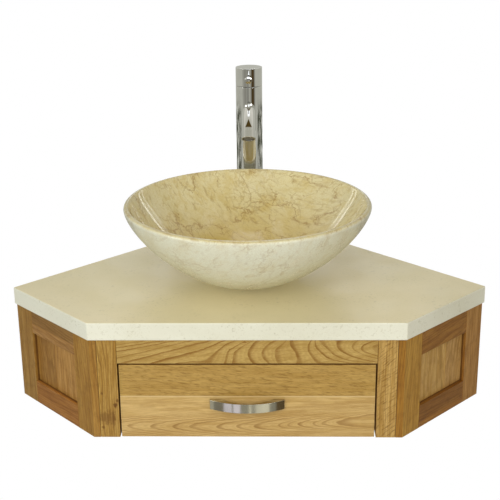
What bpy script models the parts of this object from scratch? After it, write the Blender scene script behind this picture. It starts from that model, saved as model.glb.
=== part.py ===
"""Corner vanity unit: an oak wall cabinet with one drawer, a stone worktop, a round
marble basin that stands on it, its waste, and a tall single-lever mixer tap.

Metres, +Z up. The origin is the corner of the room at the level of the cabinet's
underside: the two walls meet there, and the drawer faces -Y.
"""

import math

import bmesh
import bpy

# Clearances and shares that every piece uses
SEAM = 0.0003
OVERRUN = 0.004
MERGE = 0.00005
DIAGONAL = math.sqrt(0.5)
RIGHT_ANGLE = math.radians(90)
EIGHTH_TURN = math.radians(45)
SMOOTH_ANGLE = math.radians(35)

# Worktop: two equal edges along the walls, two short sides square to them, a front
WALL_EDGE = 0.570
SIDE_EDGE = 0.213
WORKTOP_THICKNESS = 0.030
WORKTOP_ROUND = 0.0012
OVERHANG = 0.005

# Cabinet frames: a front frame with the drawer opening, and two panelled sides
CABINET_HEIGHT = 0.174
FRONT_THICKNESS = 0.020
SIDE_THICKNESS = 0.022
FRONT_STILE = 0.043
FRONT_RAIL = 0.042
SIDE_FRONT_STILE = 0.043
SIDE_BACK_STILE = 0.044
SIDE_TOP_RAIL = 0.042
SIDE_BOTTOM_RAIL = 0.041
PANEL_THICKNESS = 0.009
PANEL_RECESS = 0.007
WOOD_ROUND = 0.0008

# Inside the cabinet: base, hanging rails, corner post and the runners' carriers
BASE_THICKNESS = 0.012
BASE_SETBACK = 0.003
SERVICE_DEPTH = 0.150
HANGING_THICKNESS = 0.018
HANGING_HEIGHT = 0.055
CORNER_POST = 0.045
CARRIER_THICKNESS = 0.016

# Screws through the hanging rails, placed along the rail from its two ends
WALL_SCREW_RADIUS = 0.003
WALL_SCREW_HEAD = 0.0065
WALL_SCREW_HEAD_THICKNESS = 0.004
WALL_SCREW_INSET = 0.070

# Drawer
DRAWER_GAP = 0.0025
DRAWER_FLOOR_GAP = 0.001
DRAWER_FRONT_THICKNESS = 0.020
DRAWER_FRONT_ROUND = 0.0012
DRAWER_LIFT = 0.004
DRAWER_DEPTH = 0.262
DRAWER_SIDE_HEIGHT = 0.090
DRAWER_SIDE_THICKNESS = 0.012
DRAWER_BACK_THICKNESS = 0.012
DRAWER_BOTTOM_THICKNESS = 0.006
DRAWER_BOTTOM_RISE = 0.004
WELL_CLEARANCE = 0.026
WELL_THICKNESS = 0.009

# Runners: a channel on each carrier, and a smaller channel on each drawer side
RUNNER_SPACE = 0.0127
RUNNER_LENGTH = 0.240
RUNNER_HEIGHT = 0.036
RUNNER_METAL = 0.0012
RUNNER_PLAY = 0.0006
RAIL_FLANGE = 0.009
SLIDE_FLANGE = 0.008
RUNNER_LEVEL = 0.045
RUNNER_SETBACK = 0.003

# Bow handle
HANDLE_LENGTH = 0.120
HANDLE_HEIGHT = 0.016
HANDLE_PROJECTION = 0.020
HANDLE_END = 0.004
HANDLE_STRAP = 0.0035
HANDLE_FOOT = 0.017
HANDLE_LEVEL = 0.062
HANDLE_ROUND = 0.0006
HANDLE_SCREW_INSET = 0.009
HANDLE_SCREW_RADIUS = 0.002
HANDLE_SCREW_HEAD = 0.004
HANDLE_SCREW_HEAD_THICKNESS = 0.0025
HANDLE_SCREW_BITE = 0.006

# Basin
BASIN_RADIUS = 0.210
BASIN_HEIGHT = 0.141
BASIN_TAP_GAP = 0.0207
BASIN_FOOT = 0.042
BASIN_LIP = 0.006
BASIN_FLOOR_THICKNESS = 0.018
BASIN_FLOOR_MARGIN = 0.0045
BASIN_OUTER_SHARES = (1.33, 1.44)
BASIN_INNER_SHARES = (1.07, 1.70)
BASIN_STEPS = 12
LIP_STEPS = 6
BASIN_SEGMENTS = 60

# Waste: flanged body through the basin and the worktop, washer, nut and push plug
WASTE_RADIUS = 0.021
WASTE_PLAY = 0.002
WASTE_WALL = 0.0045
WASTE_LAP = 0.0085
WASTE_FLANGE_THICKNESS = 0.003
WASTE_BELOW = 0.045
WASTE_WASHER_LAP = 0.006
WASTE_WASHER_THICKNESS = 0.003
WASTE_NUT_DEPTH = 0.011
WASTE_NUT_THICKNESS = 0.012
BRIDGE_DEPTH = 0.018
BRIDGE_WIDTH = 0.005
BRIDGE_HEIGHT = 0.006
BRIDGE_BUSH_WALL = 0.0025
PLUG_STEM = 0.004
PLUG_STEM_END = 0.004
PLUG_MARGIN = 0.0015
PLUG_DOME = 0.003
PLUG_THICKNESS = 0.003
PLUG_SEAT_GAP = 0.001
PLUG_TRAVEL = 0.008

# Tap body and spout
TAP_FROM_CORNER = 0.108
TAP_WALL = 0.0072
TAP_HOLE = 0.0175
TAP_HEIGHT = 0.3265
TAP_RING_LIP = 0.0015
TAP_RING_THICKNESS = 0.003
TAP_FOOT = 0.018
TAP_BORE = 0.0145
TAP_EDGE = 0.0006
POCKET_DEPTH = 0.028
INLET_RADIUS = 0.005
INLET_SPREAD = 0.008
INLET_FORWARD = 0.004
SPOUT_COVER = 0.0015
SPOUT_RADIUS = 0.012
SPOUT_BORE = 0.0085
SPOUT_STRAIGHT = 0.010
SPOUT_BEND = 0.058
SPOUT_SWEEP = math.radians(56)
SPOUT_TAIL = 0.003
SPOUT_STEPS = 12
COLLAR_WALL = 0.001
COLLAR_LENGTH = 0.015
COLLAR_SHELF = 0.0023
COLLAR_MOUTH_DEPTH = 0.006
AERATOR_THICKNESS = 0.004

# Tap cartridge, whose rotor turns with the lever and carries the tilt pin
HEAD_GAP = 0.001
HEAD_HEIGHT = 0.034
CARTRIDGE_RADIUS = 0.0175
CARTRIDGE_DROP = 0.0065
CARTRIDGE_FLOOR = 0.0183
NUT_PLAY = 0.0007
NUT_RISE = 0.003
NUT_CHAMFER = 0.0012
ROTOR_RADIUS = 0.0105
ROTOR_RISE = 0.006
ROTOR_SLOT_DROP = 0.0095
TILT_PIN_RADIUS = 0.0015
TILT_PIN_INSET = 0.001
STEM_WIDTH = 0.007
STEM_DROP = 0.006
STEM_RISE = 0.024

# Tap head and pin lever
HEAD_PLAY = 0.002
HEAD_CEILING = 0.006
HEAD_EDGE = 0.0008
HEAD_BOSS = 0.008
HEAD_BOSS_RISE = 0.013
LIFT_ANGLE = math.radians(22)
LIFT_MARGIN = math.radians(1.5)
LEVER_RISE = 0.0185
LEVER_BITE = 0.00275
LEVER_ROOT = 0.0035
LEVER_NECK = 0.0042
LEVER_END = 0.007
LEVER_REACH = 0.058
LEVER_ROUND = 0.0025

# Tap fixing under the worktop
STUD_RADIUS = 0.004
STUD_BACK = 0.009
STUD_BITE = 0.010
STUD_BELOW = 0.028
CLAMP_RADIUS = 0.024
CLAMP_THICKNESS = 0.003
CLAMP_SLOT = 0.027
CLAMP_SLOT_END = 0.001
STUD_NUT_RADIUS = 0.0075
STUD_NUT_THICKNESS = 0.0065

ROUND_SEGMENTS = 40
SMALL_SEGMENTS = 24
TUBE_RESOLUTION = 6
HEX_SIDES = 6

# Plan, worked out from the worktop: the walls run along y = -x and y = x
REACH = WALL_EDGE * DIAGONAL
SIDE_RUN = SIDE_EDGE * DIAGONAL
FRONT_Y = -(REACH + SIDE_RUN)
HALF_FRONT = REACH - SIDE_RUN
CABINET_FRONT = FRONT_Y + OVERHANG
CORNER_X = HALF_FRONT + OVERHANG - OVERHANG / DIAGONAL
SIDE_LENGTH = -(CABINET_FRONT + CORNER_X) * DIAGONAL
WALL_RUN = WALL_EDGE - OVERHANG
OPENING_HALF = CORNER_X - FRONT_STILE
SPLIT_X = CORNER_X - (SIDE_THICKNESS / DIAGONAL - FRONT_THICKNESS)
FRAME_BACK = CABINET_FRONT + max(FRONT_THICKNESS, DRAWER_FRONT_THICKNESS)

# Waste sizes, outwards from its tail
WASTE_BORE = WASTE_RADIUS - WASTE_WALL
WASTE_HOLE = WASTE_RADIUS + WASTE_PLAY
WASTE_FLANGE = WASTE_HOLE + WASTE_LAP
WASTE_WASHER_RADIUS = WASTE_HOLE + WASTE_WASHER_LAP
WASTE_NUT_RADIUS = WASTE_RADIUS + WASTE_NUT_DEPTH
BRIDGE_BUSH = PLUG_STEM + SEAM + BRIDGE_BUSH_WALL
PLUG_RADIUS = WASTE_FLANGE - PLUG_MARGIN
BASIN_FLOOR_RADIUS = WASTE_FLANGE + BASIN_FLOOR_MARGIN

# Tap sizes, outwards from its cartridge
POCKET_RADIUS = CARTRIDGE_RADIUS + SEAM
TAP_RADIUS = POCKET_RADIUS + TAP_WALL
TAP_RING_RADIUS = TAP_RADIUS + TAP_RING_LIP
HEAD_BORE = CARTRIDGE_RADIUS + HEAD_PLAY
NUT_BORE = ROTOR_RADIUS + NUT_PLAY
COLLAR_RADIUS = SPOUT_RADIUS + COLLAR_WALL
COLLAR_MOUTH = SPOUT_BORE + COLLAR_SHELF

# Tap, basin and well, one in front of another from the corner of the room
TAP_Y = -TAP_FROM_CORNER
BASIN_Y = TAP_Y - TAP_RADIUS - BASIN_TAP_GAP - BASIN_RADIUS
WELL_HALF = WASTE_NUT_RADIUS + WELL_CLEARANCE
WELL_FRONT = BASIN_Y - WELL_HALF

# Levels
WORKTOP_LOW = CABINET_HEIGHT + SEAM
WORKTOP_TOP = WORKTOP_LOW + WORKTOP_THICKNESS
DRAWER_LOW = BASE_THICKNESS + DRAWER_LIFT

# Drawer places
BOX_FRONT = CABINET_FRONT + DRAWER_FRONT_THICKNESS + SEAM
BOX_BACK = BOX_FRONT + DRAWER_DEPTH
BOX_HALF = OPENING_HALF - RUNNER_SPACE
BOX_INNER = BOX_HALF - DRAWER_SIDE_THICKNESS
BOTTOM_LOW = DRAWER_LOW + DRAWER_BOTTOM_RISE
BOTTOM_TOP = BOTTOM_LOW + DRAWER_BOTTOM_THICKNESS
DRAWER_TOP = DRAWER_LOW + DRAWER_SIDE_HEIGHT

# Tap levels
TAP_LOW = WORKTOP_TOP + SEAM + TAP_RING_THICKNESS + SEAM
PIVOT_Z = WORKTOP_TOP + TAP_HEIGHT - HEAD_HEIGHT
TAP_BODY_TOP = PIVOT_Z - HEAD_GAP
POCKET_FLOOR = TAP_BODY_TOP - POCKET_DEPTH
SPOUT_Z = POCKET_FLOOR - SPOUT_COVER - SPOUT_RADIUS

# Finishes: colour, roughness, metallic
OAK = ((0.47, 0.27, 0.09), 0.45, 0.0)
OAK_DARK = ((0.36, 0.19, 0.06), 0.5, 0.0)
BIRCH = ((0.62, 0.46, 0.28), 0.55, 0.0)
LIMESTONE = ((0.72, 0.66, 0.50), 0.4, 0.0)
MARBLE = ((0.74, 0.69, 0.54), 0.12, 0.0)
CHROME = ((0.62, 0.62, 0.60), 0.06, 1.0)
STEEL = ((0.50, 0.50, 0.48), 0.32, 1.0)
ZINC = ((0.55, 0.56, 0.58), 0.4, 1.0)
BRASS = ((0.60, 0.45, 0.18), 0.3, 1.0)
BLACK_RUBBER = ((0.02, 0.02, 0.02), 0.8, 0.0)
WHITE_PLASTIC = ((0.70, 0.70, 0.68), 0.35, 0.0)
GREY_PLASTIC = ((0.16, 0.16, 0.16), 0.5, 0.0)


def clear_scene():
    for thing in list(bpy.data.objects):
        bpy.data.objects.remove(thing, do_unlink=True)


def make_collection(name):
    group = bpy.data.collections.new(name)
    bpy.context.scene.collection.children.link(group)
    return group


clear_scene()
UNIT = make_collection("corner_vanity_unit")
CUTTERS = make_collection("cutters")


def make_material(name, finish):
    colour, roughness, metallic = finish
    material = bpy.data.materials.new(name)
    material.use_nodes = True
    shader = material.node_tree.nodes["Principled BSDF"]
    shader.inputs["Base Color"].default_value = (*colour, 1.0)
    shader.inputs["Roughness"].default_value = roughness
    shader.inputs["Metallic"].default_value = metallic
    return material


def make_object(name, mesh, finish=None, parent=None):
    """Link a mesh as a piece of the unit, or as a cutter when it has no finish."""
    thing = bpy.data.objects.new(name, mesh)
    if finish is None:
        CUTTERS.objects.link(thing)
        thing.display_type = "WIRE"
        thing.hide_render = True
    else:
        UNIT.objects.link(thing)
        thing.data.materials.append(make_material(name, finish))
    if parent is not None:
        thing.parent = parent
    return thing


def mesh_from(bm, name):
    bmesh.ops.recalc_face_normals(bm, faces=bm.faces)
    mesh = bpy.data.meshes.new(name)
    bm.to_mesh(mesh)
    bm.free()
    return mesh


def smooth(mesh):
    mesh.shade_smooth()
    mesh.set_sharp_from_angle(angle=SMOOTH_ANGLE)


def guide(name, place, turn=0.0, parent=None):
    """An empty that carries the pieces placed from it."""
    thing = bpy.data.objects.new(name, None)
    UNIT.objects.link(thing)
    thing.location = place
    thing.rotation_euler = (0.0, 0.0, turn)
    if parent is not None:
        thing.parent = parent
    return thing


def box(name, low, high, finish=None, parent=None):
    """A cuboid between two opposite corners, with its origin at its middle."""
    bm = bmesh.new()
    bmesh.ops.create_cube(bm, size=1.0)
    size = [top - bottom for bottom, top in zip(low, high)]
    bmesh.ops.scale(bm, vec=size, verts=bm.verts)
    thing = make_object(name, mesh_from(bm, name), finish, parent)
    thing.location = [(top + bottom) / 2 for bottom, top in zip(low, high)]
    return thing


def cylinder(name, radius, low, high, centre=(0.0, 0.0), finish=None, parent=None, sides=ROUND_SEGMENTS):
    """An upright cylinder, or a prism with few sides, between two levels."""
    bm = bmesh.new()
    bmesh.ops.create_cone(
        bm, cap_ends=True, segments=sides, radius1=radius, radius2=radius, depth=high - low
    )
    mesh = mesh_from(bm, name)
    if sides > HEX_SIDES:
        smooth(mesh)
    thing = make_object(name, mesh, finish, parent)
    thing.location = (centre[0], centre[1], (low + high) / 2)
    return thing


def plate(name, outline, low, high, finish=None, parent=None):
    """A flat outline in plan, given its thickness between two levels."""
    curve = bpy.data.curves.new(name, "CURVE")
    curve.dimensions = "2D"
    curve.fill_mode = "BOTH"
    curve.extrude = (high - low) / 2
    spline = curve.splines.new("POLY")
    spline.points.add(len(outline) - 1)
    for point, (x, y) in zip(spline.points, outline):
        point.co = (x, y, 0.0, 1.0)
    spline.use_cyclic_u = True
    thing = make_object(name, curve_mesh(curve, name), finish, parent)
    thing.location = (0.0, 0.0, (low + high) / 2)
    return thing


def curve_mesh(curve, name):
    """A closed mesh of a curve, whose caps are welded to its walls."""
    source = bpy.data.objects.new(name + "_curve", curve)
    bpy.context.scene.collection.objects.link(source)
    bpy.context.view_layer.update()
    graph = bpy.context.evaluated_depsgraph_get()
    raw = bpy.data.meshes.new_from_object(source.evaluated_get(graph))
    bm = bmesh.new()
    bm.from_mesh(raw)
    bmesh.ops.remove_doubles(bm, verts=bm.verts, dist=MERGE)
    bpy.data.objects.remove(source, do_unlink=True)
    bpy.data.meshes.remove(raw)
    return mesh_from(bm, name)


def turned(name, profile, finish=None, parent=None, closed=False, steps=ROUND_SEGMENTS):
    """A turned piece: the profile runs down its outer side, as (radius, level)."""
    mesh = bpy.data.meshes.new(name)
    edges = [(index, index + 1) for index in range(len(profile) - 1)]
    if closed:
        edges.append((len(profile) - 1, 0))
    mesh.from_pydata([(radius, 0.0, level) for radius, level in profile], edges, [])
    thing = make_object(name, mesh, finish, parent)
    screw = thing.modifiers.new("turning", "SCREW")
    screw.steps = steps
    screw.render_steps = steps
    screw.use_merge_vertices = True
    screw.merge_threshold = MERGE
    screw.use_smooth_shade = True
    return thing


def ring(name, bore, radius, low, high, finish, parent=None, steps=ROUND_SEGMENTS):
    profile = [(radius, high), (radius, low), (bore, low), (bore, high)]
    return turned(name, profile, finish, parent, closed=True, steps=steps)


def tube(name, points, radius, finish=None, parent=None):
    """A round bar along a line of points, with flat ends."""
    curve = bpy.data.curves.new(name, "CURVE")
    curve.dimensions = "3D"
    curve.bevel_depth = radius
    curve.bevel_resolution = TUBE_RESOLUTION
    curve.use_fill_caps = True
    spline = curve.splines.new("POLY")
    spline.points.add(len(points) - 1)
    for point, (x, y, z) in zip(spline.points, points):
        point.co = (x, y, z, 1.0)
    mesh = curve_mesh(curve, name)
    smooth(mesh)
    return make_object(name, mesh, finish, parent)


def cut(piece, cutter):
    step = piece.modifiers.new("cut_" + cutter.name, "BOOLEAN")
    step.operation = "DIFFERENCE"
    step.object = cutter


def join(piece, addition):
    step = piece.modifiers.new("join_" + addition.name, "BOOLEAN")
    step.operation = "UNION"
    step.object = addition


def soften(piece, width, segments=1):
    """Take the sharp edges off a piece."""
    step = piece.modifiers.new("softened_edges", "BEVEL")
    step.width = width
    step.segments = segments
    step.limit_method = "ANGLE"
    step.angle_limit = SMOOTH_ANGLE


def board(name, low, high, finish=OAK, parent=None):
    """A piece of planed timber."""
    piece = box(name, low, high, finish, parent)
    soften(piece, WOOD_ROUND)
    return piece


def cross_bar(name, radius, half, finish, parent):
    """A round bar along X, from one side of its parent's axis to the other."""
    bar = cylinder(name, radius, -half, half, finish=finish, parent=parent, sides=SMALL_SEGMENTS)
    bar.rotation_euler = (0.0, RIGHT_ANGLE, 0.0)
    return bar


def drill(piece, radius, low, high, centre, sides=ROUND_SEGMENTS):
    """An upright hole between two levels."""
    name = piece.name + "_hole_" + str(len(piece.modifiers))
    cut(piece, cylinder(name, radius, low, high, centre, sides=sides))


def make_worktop():
    outline = [
        (-HALF_FRONT, FRONT_Y),
        (HALF_FRONT, FRONT_Y),
        (REACH, -REACH),
        (0.0, 0.0),
        (-REACH, -REACH),
    ]
    worktop = plate("worktop", outline, WORKTOP_LOW, WORKTOP_TOP, LIMESTONE)
    soften(worktop, WORKTOP_ROUND, 2)
    low = WORKTOP_LOW - OVERRUN
    high = WORKTOP_TOP + OVERRUN
    drill(worktop, WASTE_HOLE, low, high, (0.0, BASIN_Y))
    drill(worktop, TAP_HOLE, low, high, (0.0, TAP_Y))


def basin_wall(low, high, inner, outer, shares):
    """Points up one face of the bowl's wall, from its floor to below its lip."""
    across, upward = shares
    points = []
    for step in range(BASIN_STEPS + 1):
        turn = RIGHT_ANGLE * step / BASIN_STEPS
        radius = inner + (outer - inner) * math.sin(turn) ** across
        level = low + (high - low) * (1 - max(math.cos(turn), 0.0) ** upward)
        points.append((radius, level))
    return points


def make_basin():
    foot = WORKTOP_TOP + SEAM
    floor = foot + BASIN_FLOOR_THICKNESS
    lip_level = foot + BASIN_HEIGHT - BASIN_LIP
    lip_centre = BASIN_RADIUS - BASIN_LIP
    outer = basin_wall(foot, lip_level, BASIN_FOOT, BASIN_RADIUS, BASIN_OUTER_SHARES)
    inner_radius = lip_centre - BASIN_LIP
    inner = basin_wall(floor, lip_level, BASIN_FLOOR_RADIUS, inner_radius, BASIN_INNER_SHARES)
    lip = []
    for step in range(1, LIP_STEPS):
        turn = math.pi * (1 - step / LIP_STEPS)
        lip.append((lip_centre + BASIN_LIP * math.cos(turn), lip_level + BASIN_LIP * math.sin(turn)))
    profile = list(reversed(outer)) + [(WASTE_HOLE, foot), (WASTE_HOLE, floor)] + inner + lip
    basin = turned("basin", profile, MARBLE, closed=True, steps=BASIN_SEGMENTS)
    basin.location = (0.0, BASIN_Y, 0.0)
    return floor


def make_waste(floor):
    """The flanged waste, its washer and nut under the worktop, and the push plug."""
    flange_low = floor + SEAM
    flange_top = flange_low + WASTE_FLANGE_THICKNESS
    tail_end = WORKTOP_LOW - WASTE_BELOW
    profile = [
        (WASTE_FLANGE - WASTE_FLANGE_THICKNESS / 2, flange_top),
        (WASTE_FLANGE, flange_low + WASTE_FLANGE_THICKNESS / 2),
        (WASTE_FLANGE, flange_low),
        (WASTE_RADIUS, flange_low),
        (WASTE_RADIUS, tail_end),
        (WASTE_BORE, tail_end),
        (WASTE_BORE, flange_top),
    ]
    body = turned("waste_body", profile, CHROME, closed=True)
    body.location = (0.0, BASIN_Y, 0.0)
    bridge_top = flange_top - BRIDGE_DEPTH
    bridge_low = bridge_top - BRIDGE_HEIGHT
    half = WASTE_BORE + (WASTE_RADIUS - WASTE_BORE) / 2
    low = (-half, BASIN_Y - BRIDGE_WIDTH / 2, bridge_low)
    high = (half, BASIN_Y + BRIDGE_WIDTH / 2, bridge_top)
    join(body, box("waste_bridge", low, high))
    centre = (0.0, BASIN_Y)
    bush_low = bridge_low - BRIDGE_HEIGHT
    bush_top = bridge_top + BRIDGE_HEIGHT
    join(body, cylinder("waste_bush", BRIDGE_BUSH, bush_low, bush_top, centre, sides=SMALL_SEGMENTS))
    drill(body, PLUG_STEM + SEAM, bush_low - OVERRUN, flange_top, centre, SMALL_SEGMENTS)

    washer_top = WORKTOP_LOW - SEAM
    washer_low = washer_top - WASTE_WASHER_THICKNESS
    bore = WASTE_RADIUS + SEAM
    washer = ring("waste_washer", bore, WASTE_WASHER_RADIUS, washer_low, washer_top, BLACK_RUBBER)
    washer.location = (0.0, BASIN_Y, 0.0)
    nut_top = washer_low - SEAM
    nut_low = nut_top - WASTE_NUT_THICKNESS
    nut = cylinder("waste_nut", WASTE_NUT_RADIUS, nut_low, nut_top, centre, BRASS, sides=HEX_SIDES)
    drill(nut, bore, nut_low - OVERRUN, nut_top + OVERRUN, centre)

    axis = guide("plug_slide", (0.0, BASIN_Y, flange_top))
    cap_low = PLUG_SEAT_GAP + PLUG_TRAVEL
    cap_edge = cap_low + PLUG_THICKNESS
    dome = []
    for step in range(LIP_STEPS):
        share = step / LIP_STEPS
        dome.append((PLUG_RADIUS * share, cap_edge + PLUG_DOME * (1 - share ** 2)))
    stem_low = bush_low - PLUG_STEM_END - flange_top
    stem = [(PLUG_STEM, cap_low), (PLUG_STEM, stem_low), (0.0, stem_low)]
    turned("waste_plug", dome + [(PLUG_RADIUS, cap_edge), (PLUG_RADIUS, cap_low)] + stem, CHROME, axis)


def spout_line():
    """The spout's middle line: straight out of the body, bent down, and a straight end."""
    start = TAP_BORE + SEAM
    bend_start = TAP_RADIUS + SPOUT_STRAIGHT
    points = [(0.0, TAP_Y - start, SPOUT_Z)]
    for step in range(SPOUT_STEPS + 1):
        turn = SPOUT_SWEEP * step / SPOUT_STEPS
        forward = bend_start + SPOUT_BEND * math.sin(turn)
        points.append((0.0, TAP_Y - forward, SPOUT_Z - SPOUT_BEND * (1 - math.cos(turn))))
    return points + [past(points[-1], SPOUT_TAIL)]


def past(end, distance):
    """The point a distance beyond the end of the spout's bend, along its slope."""
    forward = distance * math.cos(SPOUT_SWEEP)
    down = distance * math.sin(SPOUT_SWEEP)
    return (end[0], end[1] - forward, end[2] - down)


def make_tap_body():
    centre = (0.0, TAP_Y)
    ring_top = TAP_LOW - SEAM
    ring_low = ring_top - TAP_RING_THICKNESS
    base = ring("tap_base_ring", POCKET_RADIUS, TAP_RING_RADIUS, ring_low, ring_top, CHROME)
    base.location = (0.0, TAP_Y, 0.0)
    foot_top = TAP_LOW + TAP_FOOT
    profile = [
        (0.0, foot_top),
        (TAP_BORE, foot_top),
        (TAP_BORE, POCKET_FLOOR),
        (POCKET_RADIUS, POCKET_FLOOR),
        (POCKET_RADIUS, TAP_BODY_TOP),
        (TAP_RADIUS - TAP_EDGE, TAP_BODY_TOP),
        (TAP_RADIUS, TAP_BODY_TOP - TAP_EDGE),
        (TAP_RADIUS, TAP_LOW),
        (0.0, TAP_LOW),
    ]
    body = turned("tap_body", profile, CHROME)
    body.location = (0.0, TAP_Y, 0.0)
    reach = TAP_RADIUS + OVERRUN
    socket = cylinder("spout_socket", SPOUT_RADIUS + SEAM, 0.0, reach, sides=ROUND_SEGMENTS)
    socket.location = (0.0, TAP_Y - reach / 2, SPOUT_Z)
    socket.rotation_euler = (RIGHT_ANGLE, 0.0, 0.0)
    cut(body, socket)
    stud_centre = (0.0, TAP_Y + STUD_BACK)
    stud_top = TAP_LOW + STUD_BITE
    stud_hole = STUD_RADIUS + SEAM
    drill(body, stud_hole, TAP_LOW - OVERRUN, stud_top + SEAM, stud_centre, SMALL_SEGMENTS)
    for side in (-1, 1):
        inlet = (side * INLET_SPREAD, TAP_Y - INLET_FORWARD)
        drill(body, INLET_RADIUS, TAP_LOW - OVERRUN, foot_top + OVERRUN, inlet, SMALL_SEGMENTS)

    stud_low = WORKTOP_LOW - STUD_BELOW
    cylinder("tap_stud", STUD_RADIUS, stud_low, stud_top, stud_centre, ZINC, sides=SMALL_SEGMENTS)
    clamp_top = WORKTOP_LOW - SEAM
    clamp_low = clamp_top - CLAMP_THICKNESS
    clamp = cylinder("tap_clamp_washer", CLAMP_RADIUS, clamp_low, clamp_top, centre, ZINC)
    slot_low = (-CLAMP_SLOT / 2, TAP_Y - CLAMP_RADIUS - OVERRUN, clamp_low - OVERRUN)
    slot_high = (CLAMP_SLOT / 2, TAP_Y + CLAMP_SLOT_END, clamp_top + OVERRUN)
    cut(clamp, box("clamp_slot", slot_low, slot_high))
    drill(clamp, stud_hole, clamp_low - OVERRUN, clamp_top + OVERRUN, stud_centre, SMALL_SEGMENTS)
    nut_top = clamp_low - SEAM
    nut_low = nut_top - STUD_NUT_THICKNESS
    nut = cylinder("tap_stud_nut", STUD_NUT_RADIUS, nut_low, nut_top, stud_centre, ZINC, sides=HEX_SIDES)
    drill(nut, stud_hole, nut_low - OVERRUN, nut_top + OVERRUN, stud_centre, SMALL_SEGMENTS)


def make_spout():
    line = spout_line()
    spout = tube("tap_spout", line, SPOUT_RADIUS, CHROME)
    end = line[-1]
    longer = [(0.0, line[0][1] + OVERRUN, SPOUT_Z)] + line[1:-1] + [past(end, OVERRUN)]
    cut(spout, tube("spout_bore", longer, SPOUT_BORE))

    collar_end = SEAM + COLLAR_LENGTH
    shelf = collar_end - COLLAR_MOUTH_DEPTH
    profile = [
        (COLLAR_RADIUS, collar_end),
        (COLLAR_RADIUS, SEAM),
        (SPOUT_BORE, SEAM),
        (SPOUT_BORE, shelf),
        (COLLAR_MOUTH, shelf),
        (COLLAR_MOUTH, collar_end),
    ]
    collar = turned("spout_collar", profile, CHROME, closed=True, steps=SMALL_SEGMENTS)
    low = shelf + SEAM
    aerator_radius = COLLAR_MOUTH - SEAM
    aerator_profile = [
        (0.0, low + AERATOR_THICKNESS),
        (aerator_radius, low + AERATOR_THICKNESS),
        (aerator_radius, low),
        (0.0, low),
    ]
    aerator = turned("aerator", aerator_profile, GREY_PLASTIC, steps=SMALL_SEGMENTS)
    for piece in (collar, aerator):
        piece.location = end
        piece.rotation_euler = (RIGHT_ANGLE + SPOUT_SWEEP, 0.0, 0.0)


def make_cartridge(swivel, lift):
    """Fixed cartridge and its nut, the rotor that turns, and the stem that tilts.

    Levels here are measured from the tilt axis.
    """
    home = (0.0, TAP_Y, PIVOT_Z)
    low = POCKET_FLOOR + SEAM - PIVOT_Z
    cup = ROTOR_RADIUS + SEAM
    body_profile = [
        (0.0, -CARTRIDGE_FLOOR),
        (cup, -CARTRIDGE_FLOOR),
        (cup, -CARTRIDGE_DROP),
        (CARTRIDGE_RADIUS, -CARTRIDGE_DROP),
        (CARTRIDGE_RADIUS, low),
        (0.0, low),
    ]
    body = turned("cartridge_body", body_profile, WHITE_PLASTIC)
    body.location = home
    nut_low = SEAM - CARTRIDGE_DROP
    nut_profile = [
        (CARTRIDGE_RADIUS - NUT_CHAMFER, NUT_RISE),
        (CARTRIDGE_RADIUS, NUT_RISE - NUT_CHAMFER),
        (CARTRIDGE_RADIUS, nut_low),
        (NUT_BORE, nut_low),
        (NUT_BORE, NUT_RISE),
    ]
    nut = turned("cartridge_nut", nut_profile, CHROME, closed=True)
    nut.location = home

    low = SEAM - CARTRIDGE_FLOOR
    rotor = cylinder("cartridge_rotor", ROTOR_RADIUS, low, ROTOR_RISE, (0.0, 0.0), GREY_PLASTIC, swivel)
    half_stem = STEM_WIDTH / 2
    half_slot = half_stem + SEAM
    wide = ROTOR_RADIUS + OVERRUN
    slot_high = (half_slot, wide, ROTOR_RISE + OVERRUN)
    cut(rotor, box("rotor_slot", (-half_slot, -wide, -ROTOR_SLOT_DROP), slot_high, None, swivel))
    pin_hole = cross_bar("rotor_pin_hole", TILT_PIN_RADIUS + SEAM, wide, None, swivel)
    cut(rotor, pin_hole)
    cross_bar("tilt_pin", TILT_PIN_RADIUS, ROTOR_RADIUS - TILT_PIN_INSET, ZINC, swivel)

    stem_high = (half_stem, half_stem, STEM_RISE)
    stem = box("cartridge_stem", (-half_stem, -half_stem, -STEM_DROP), stem_high, BRASS, lift)
    cut(stem, pin_hole)


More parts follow.
